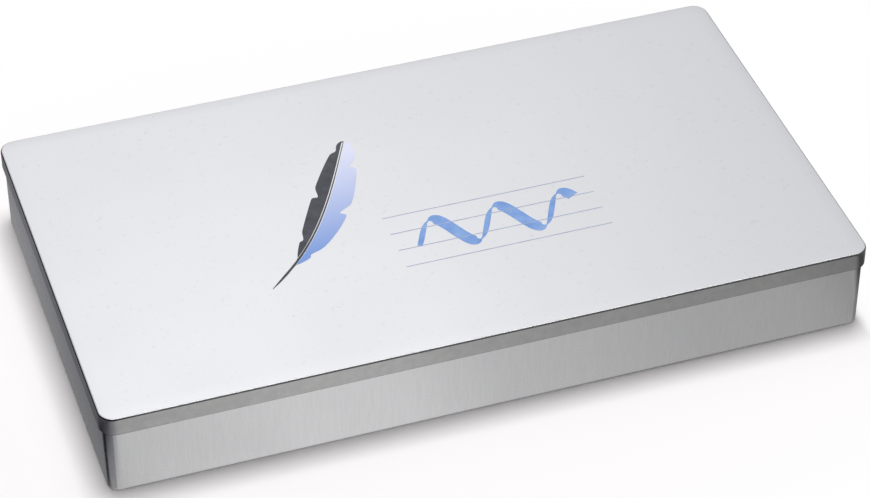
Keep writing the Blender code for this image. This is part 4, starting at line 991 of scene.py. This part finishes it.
for side, x in (("left", -60), ("right", 60)):
    centre = PIN_AXIS + Vector((x * MM, 0, 0))
    notches = [(-far, -KNUCKLE_HALF, -CLEAR, REACH), (KNUCKLE_HALF, far, -CLEAR, REACH)]
    leaf("hinge_base_leaf_" + side, "base", centre, base_outline, notches)
    leaf("hinge_lid_leaf_" + side, "lid", centre, lid_outline, [(-gap, gap, -REACH, CLEAR)])
    turned("hinge_pin_" + side, "polished_steel", centre, PIN_PROFILE, polished, edge=0.05 * MM)

# %% [markdown]
# ## Pieces that nothing shows
# The pen's feed, nib, grip and cartridge sit inside the barrel and the cap, and the liner inside the cap.
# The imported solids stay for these, and only take the finishes.

# %% Finish the hidden pieces
hidden_finishes = {"pen_feed": black_matt, "pen_grip_section": black_matt, "pen_nib": polished}
hidden_finishes.update(pen_cartridge=cartridge_blue, pen_cap_liner=milky)
for name, finish in hidden_finishes.items():
    hidden = bpy.data.objects[name]
    for slot in hidden.material_slots:
        slot.material = finish
    print(name, "takes", finish.name)

# %% [markdown]
# ## Studio
# The photograph's ground is white with a short soft shadow on the left and in front. The floor is plain
# paper that takes the lamps' shadow. Far from the box and on its right it is white of its own, and shows no
# shadow there. Metal shows what surrounds it, so mirror rays see something else, a card with greys drawn on
# it. In front the greys change along the wall, at the sides they are darker, and round the front corners
# they are nearly black, which draws the thin dark lines there. The sky is brighter behind the box than in
# front of it, which gives the lid its tone, and it is dark at the horizon, which the lid's bent edge
# mirrors.


# %% Floor
CARD_REACH = 0.2
BOX_SIDE, BOX_FRONT = 104, -57  # mm, where the card's zones meet
# Each list below holds pairs of x in mm and a grey.
ALONG = [(-90, 0.78), (-50, 0.91), (-22, 0.88), (5, 0.71), (35, 0.63), (60, 0.56), (90, 0.525)]
IN_FRONT = [
    (-190, 0.45), (-142, 0.35), (-133, 0.01), (-126, 0.01), (-121, 0.33), (-114, 0.46), (-109, 0.50),
    (-104, 0.58), (-98, 0.74), *ALONG, (101, 0.48), (108, 0.42), (113, 0.46), (119, 0.30), (125, 0.08),
    (133, 0.08), (142, 0.35), (190, 0.45),
]
AT_SIDES = [
    (-190, 0.15), (-165, 0.45), (-122, 0.45), (-117, 0.06), (-113, 0.06), (-111, 0.33), (-104, 0.33),
    *ALONG, (106, 0.30), (120, 0.30), (150, 0.45), (190, 0.15),
]
AT_CORNERS = [
    (-190, 0.45), (-136, 0.35), (-127, 0.01), (-105, 0.01), (-104, 0.30), (104, 0.36), (112, 0.30),
    (118, 0.12), (126, 0.12), (134, 0.35), (190, 0.45),
]
STEEP, SHALLOW = 1.2, 0.25  # slopes of the lines between the zones
CARD_COOL = (0.90, 0.91, 1.0)


def card_ramp(tree, place, stops):
    """Greys along X. Left of the box they are a little cooler."""
    made = add(tree, "ShaderNodeValToRGB")
    for index, (x, grey) in enumerate(stops):
        stops_made = made.color_ramp.elements
        stop = stops_made[index] if index < 2 else stops_made.new(1.0)
        cool = CARD_COOL if x < -BOX_SIDE else (1, 1, 1)
        stop.position, stop.color = 0.5 + 0.5 * x * MM / CARD_REACH, (*(grey * share for share in cool), 1)
    join(tree, place, 0, made, 0)
    return made


def off_corners(tree, split, slope):
    """A mask of the floor in front of two lines that run outwards and back from the front corners."""
    half = maths(tree, "ABSOLUTE", (split, "X"))
    slant = maths(tree, "MULTIPLY_ADD", (half, 0), -slope, (split, "Y"))
    apex = (BOX_FRONT - BOX_SIDE * slope) * MM
    return smooth_step(tree, slant, 0, apex - 1.5 * MM, apex + 0.5 * MM, 1.0, 0.0)


floor_paper = bpy.data.materials.new("floor_paper")
floor_paper.use_nodes = True
tree = floor_paper.node_tree
tree.nodes.clear()
out = add(tree, "ShaderNodeOutputMaterial")
path = add(tree, "ShaderNodeLightPath")
place, split = coordinates(tree)
paper = add(tree, "ShaderNodeBsdfDiffuse", Color=(0.94, 0.915, 0.92, 1))
squared = add(tree, "ShaderNodeVectorMath", operation="MULTIPLY")
squared.inputs[1].default_value = (1.0, 1.75, 1.0)
join(tree, place, "Object", squared, 0)
distance = add(tree, "ShaderNodeVectorMath", operation="LENGTH")
join(tree, squared, 0, distance, 0)
far_off = smooth_step(tree, distance, "Value", 0.13, 0.24, 0.0, 1.0)
on_right = smooth_step(tree, split, "X", 103 * MM, 107 * MM, 0.0, 0.9)
bare = maths(tree, "MAXIMUM", (far_off, 0), (on_right, 0))
seen_bare = maths(tree, "MULTIPLY", (path, "Is Camera Ray"), (bare, 0))
backdrop = add(tree, "ShaderNodeEmission", Color=(1, 1, 1, 1), Strength=1.0)
ground = mixed(tree, "ShaderNodeMixShader", (seen_bare, 0), paper, backdrop)

card_place = spread(tree, split, "X", -CARD_REACH, CARD_REACH)
beside = add(tree, "ShaderNodeVectorMath", operation="SCALE")
join(tree, card_ramp(tree, card_place, AT_SIDES), 0, beside, 0)
join(tree, smooth_step(tree, split, "Y", -60 * MM, 90 * MM, 0.72, 1.14), 0, beside, "Scale")
round_corners = card_ramp(tree, card_place, AT_CORNERS)
around = mixed(tree, "ShaderNodeMixRGB", (off_corners(tree, split, STEEP), 0), beside, round_corners)
in_line = smooth_step(tree, split, "Y", -60 * MM, -57.5 * MM, 1.0, 0.0)
ahead = maths(tree, "MAXIMUM", (in_line, 0), (off_corners(tree, split, SHALLOW), 0))
card = mixed(tree, "ShaderNodeMixRGB", (ahead, 0), around, card_ramp(tree, card_place, IN_FRONT))
mirrored = add(tree, "ShaderNodeEmission", Color=(1, 1, 1, 1))
join(tree, card, 0, mirrored, "Color")

lit = mixed(tree, "ShaderNodeMixShader", (path, "Is Glossy Ray"), ground, mirrored)
clear = add(tree, "ShaderNodeBsdfTransparent")
side = add(tree, "ShaderNodeNewGeometry")
join(tree, mixed(tree, "ShaderNodeMixShader", (side, "Backfacing"), lit, clear), 0, out, "Surface")

bm = bmesh.new()
bmesh.ops.create_grid(bm, x_segments=1, y_segments=1, size=6.0)
bmesh.ops.translate(bm, verts=bm.verts, vec=(0, 0, -0.05 * MM))
floor = piece_from(bm, "floor", floor_paper)
print("floor at", floor.data.vertices[0].co.z)

# %% Sky
world = bpy.data.worlds.new("studio")
bpy.context.scene.world = world
world.use_nodes = True
tree = world.node_tree
tree.nodes.clear()
out = add(tree, "ShaderNodeOutputWorld")
path = add(tree, "ShaderNodeLightPath")
split = coordinates(tree, "Generated")[1]
strength = smooth_step(tree, split, "Y", -0.9, 0.5, 0.69, 0.885)
SHADES = ("X", 0.12, 0.45, 1.0, 0.77), ("X", -0.45, 0.25, 0.62, 1.0), ("Z", 0.0, 0.42, 0.16, 1.0)
for shade in SHADES:
    strength = maths(tree, "MULTIPLY", (strength, 0), (smooth_step(tree, split, *shade), 0))
plain = add(tree, "ShaderNodeBackground", Color=(1, 1, 1, 1), Strength=0.12)
white = add(tree, "ShaderNodeBackground", Color=(1, 1, 1, 1), Strength=1.0)
mirrored = add(tree, "ShaderNodeBackground", Color=(0.97, 0.985, 1, 1))
join(tree, strength, 0, mirrored, "Strength")
for_metal = mixed(tree, "ShaderNodeMixShader", (path, "Is Glossy Ray"), plain, mirrored)
for_camera = mixed(tree, "ShaderNodeMixShader", (path, "Is Camera Ray"), for_metal, white)
join(tree, for_camera, 0, out, "Surface")
print("sky", world.name)


# %% Lamps
def softbox(name, azimuth, elevation, distance, size, power):
    """A rectangular lamp that faces the middle of the lid."""
    data = bpy.data.lights.new(name, "AREA")
    data.shape = "RECTANGLE"
    data.size, data.size_y = size
    data.energy = power
    lamp = bpy.data.objects.new(name, data)
    bpy.context.scene.collection.objects.link(lamp)
    away = direction(math.radians(azimuth), math.radians(elevation))
    lamp.location = lid_top_middle + away * distance
    lamp.rotation_euler = away.to_track_quat("Z", "Y").to_euler()
    return lamp


softbox("top_softbox", 168, 84.0, 2.0, (0.78, 0.78), 33.0).visible_glossy = False
softbox("wide_softbox", 168, 84.0, 2.0, (1.9, 1.9), 8.8).visible_glossy = False
softbox("back_softbox", 172, 52, 1.1, (0.5, 0.4), 0.42)
softbox("gloss_strip", 0, 72, 1.1, (1.2, 0.15), 2.3).visible_diffuse = False
bpy.context.scene.view_settings.view_transform = "Standard"

# %% [markdown]
# ## The imported box
# The box of the imported model is printed.

# %% Print the imported box
print("packed", [round(v, 5) for v in (*cad_low, *cad_high)])
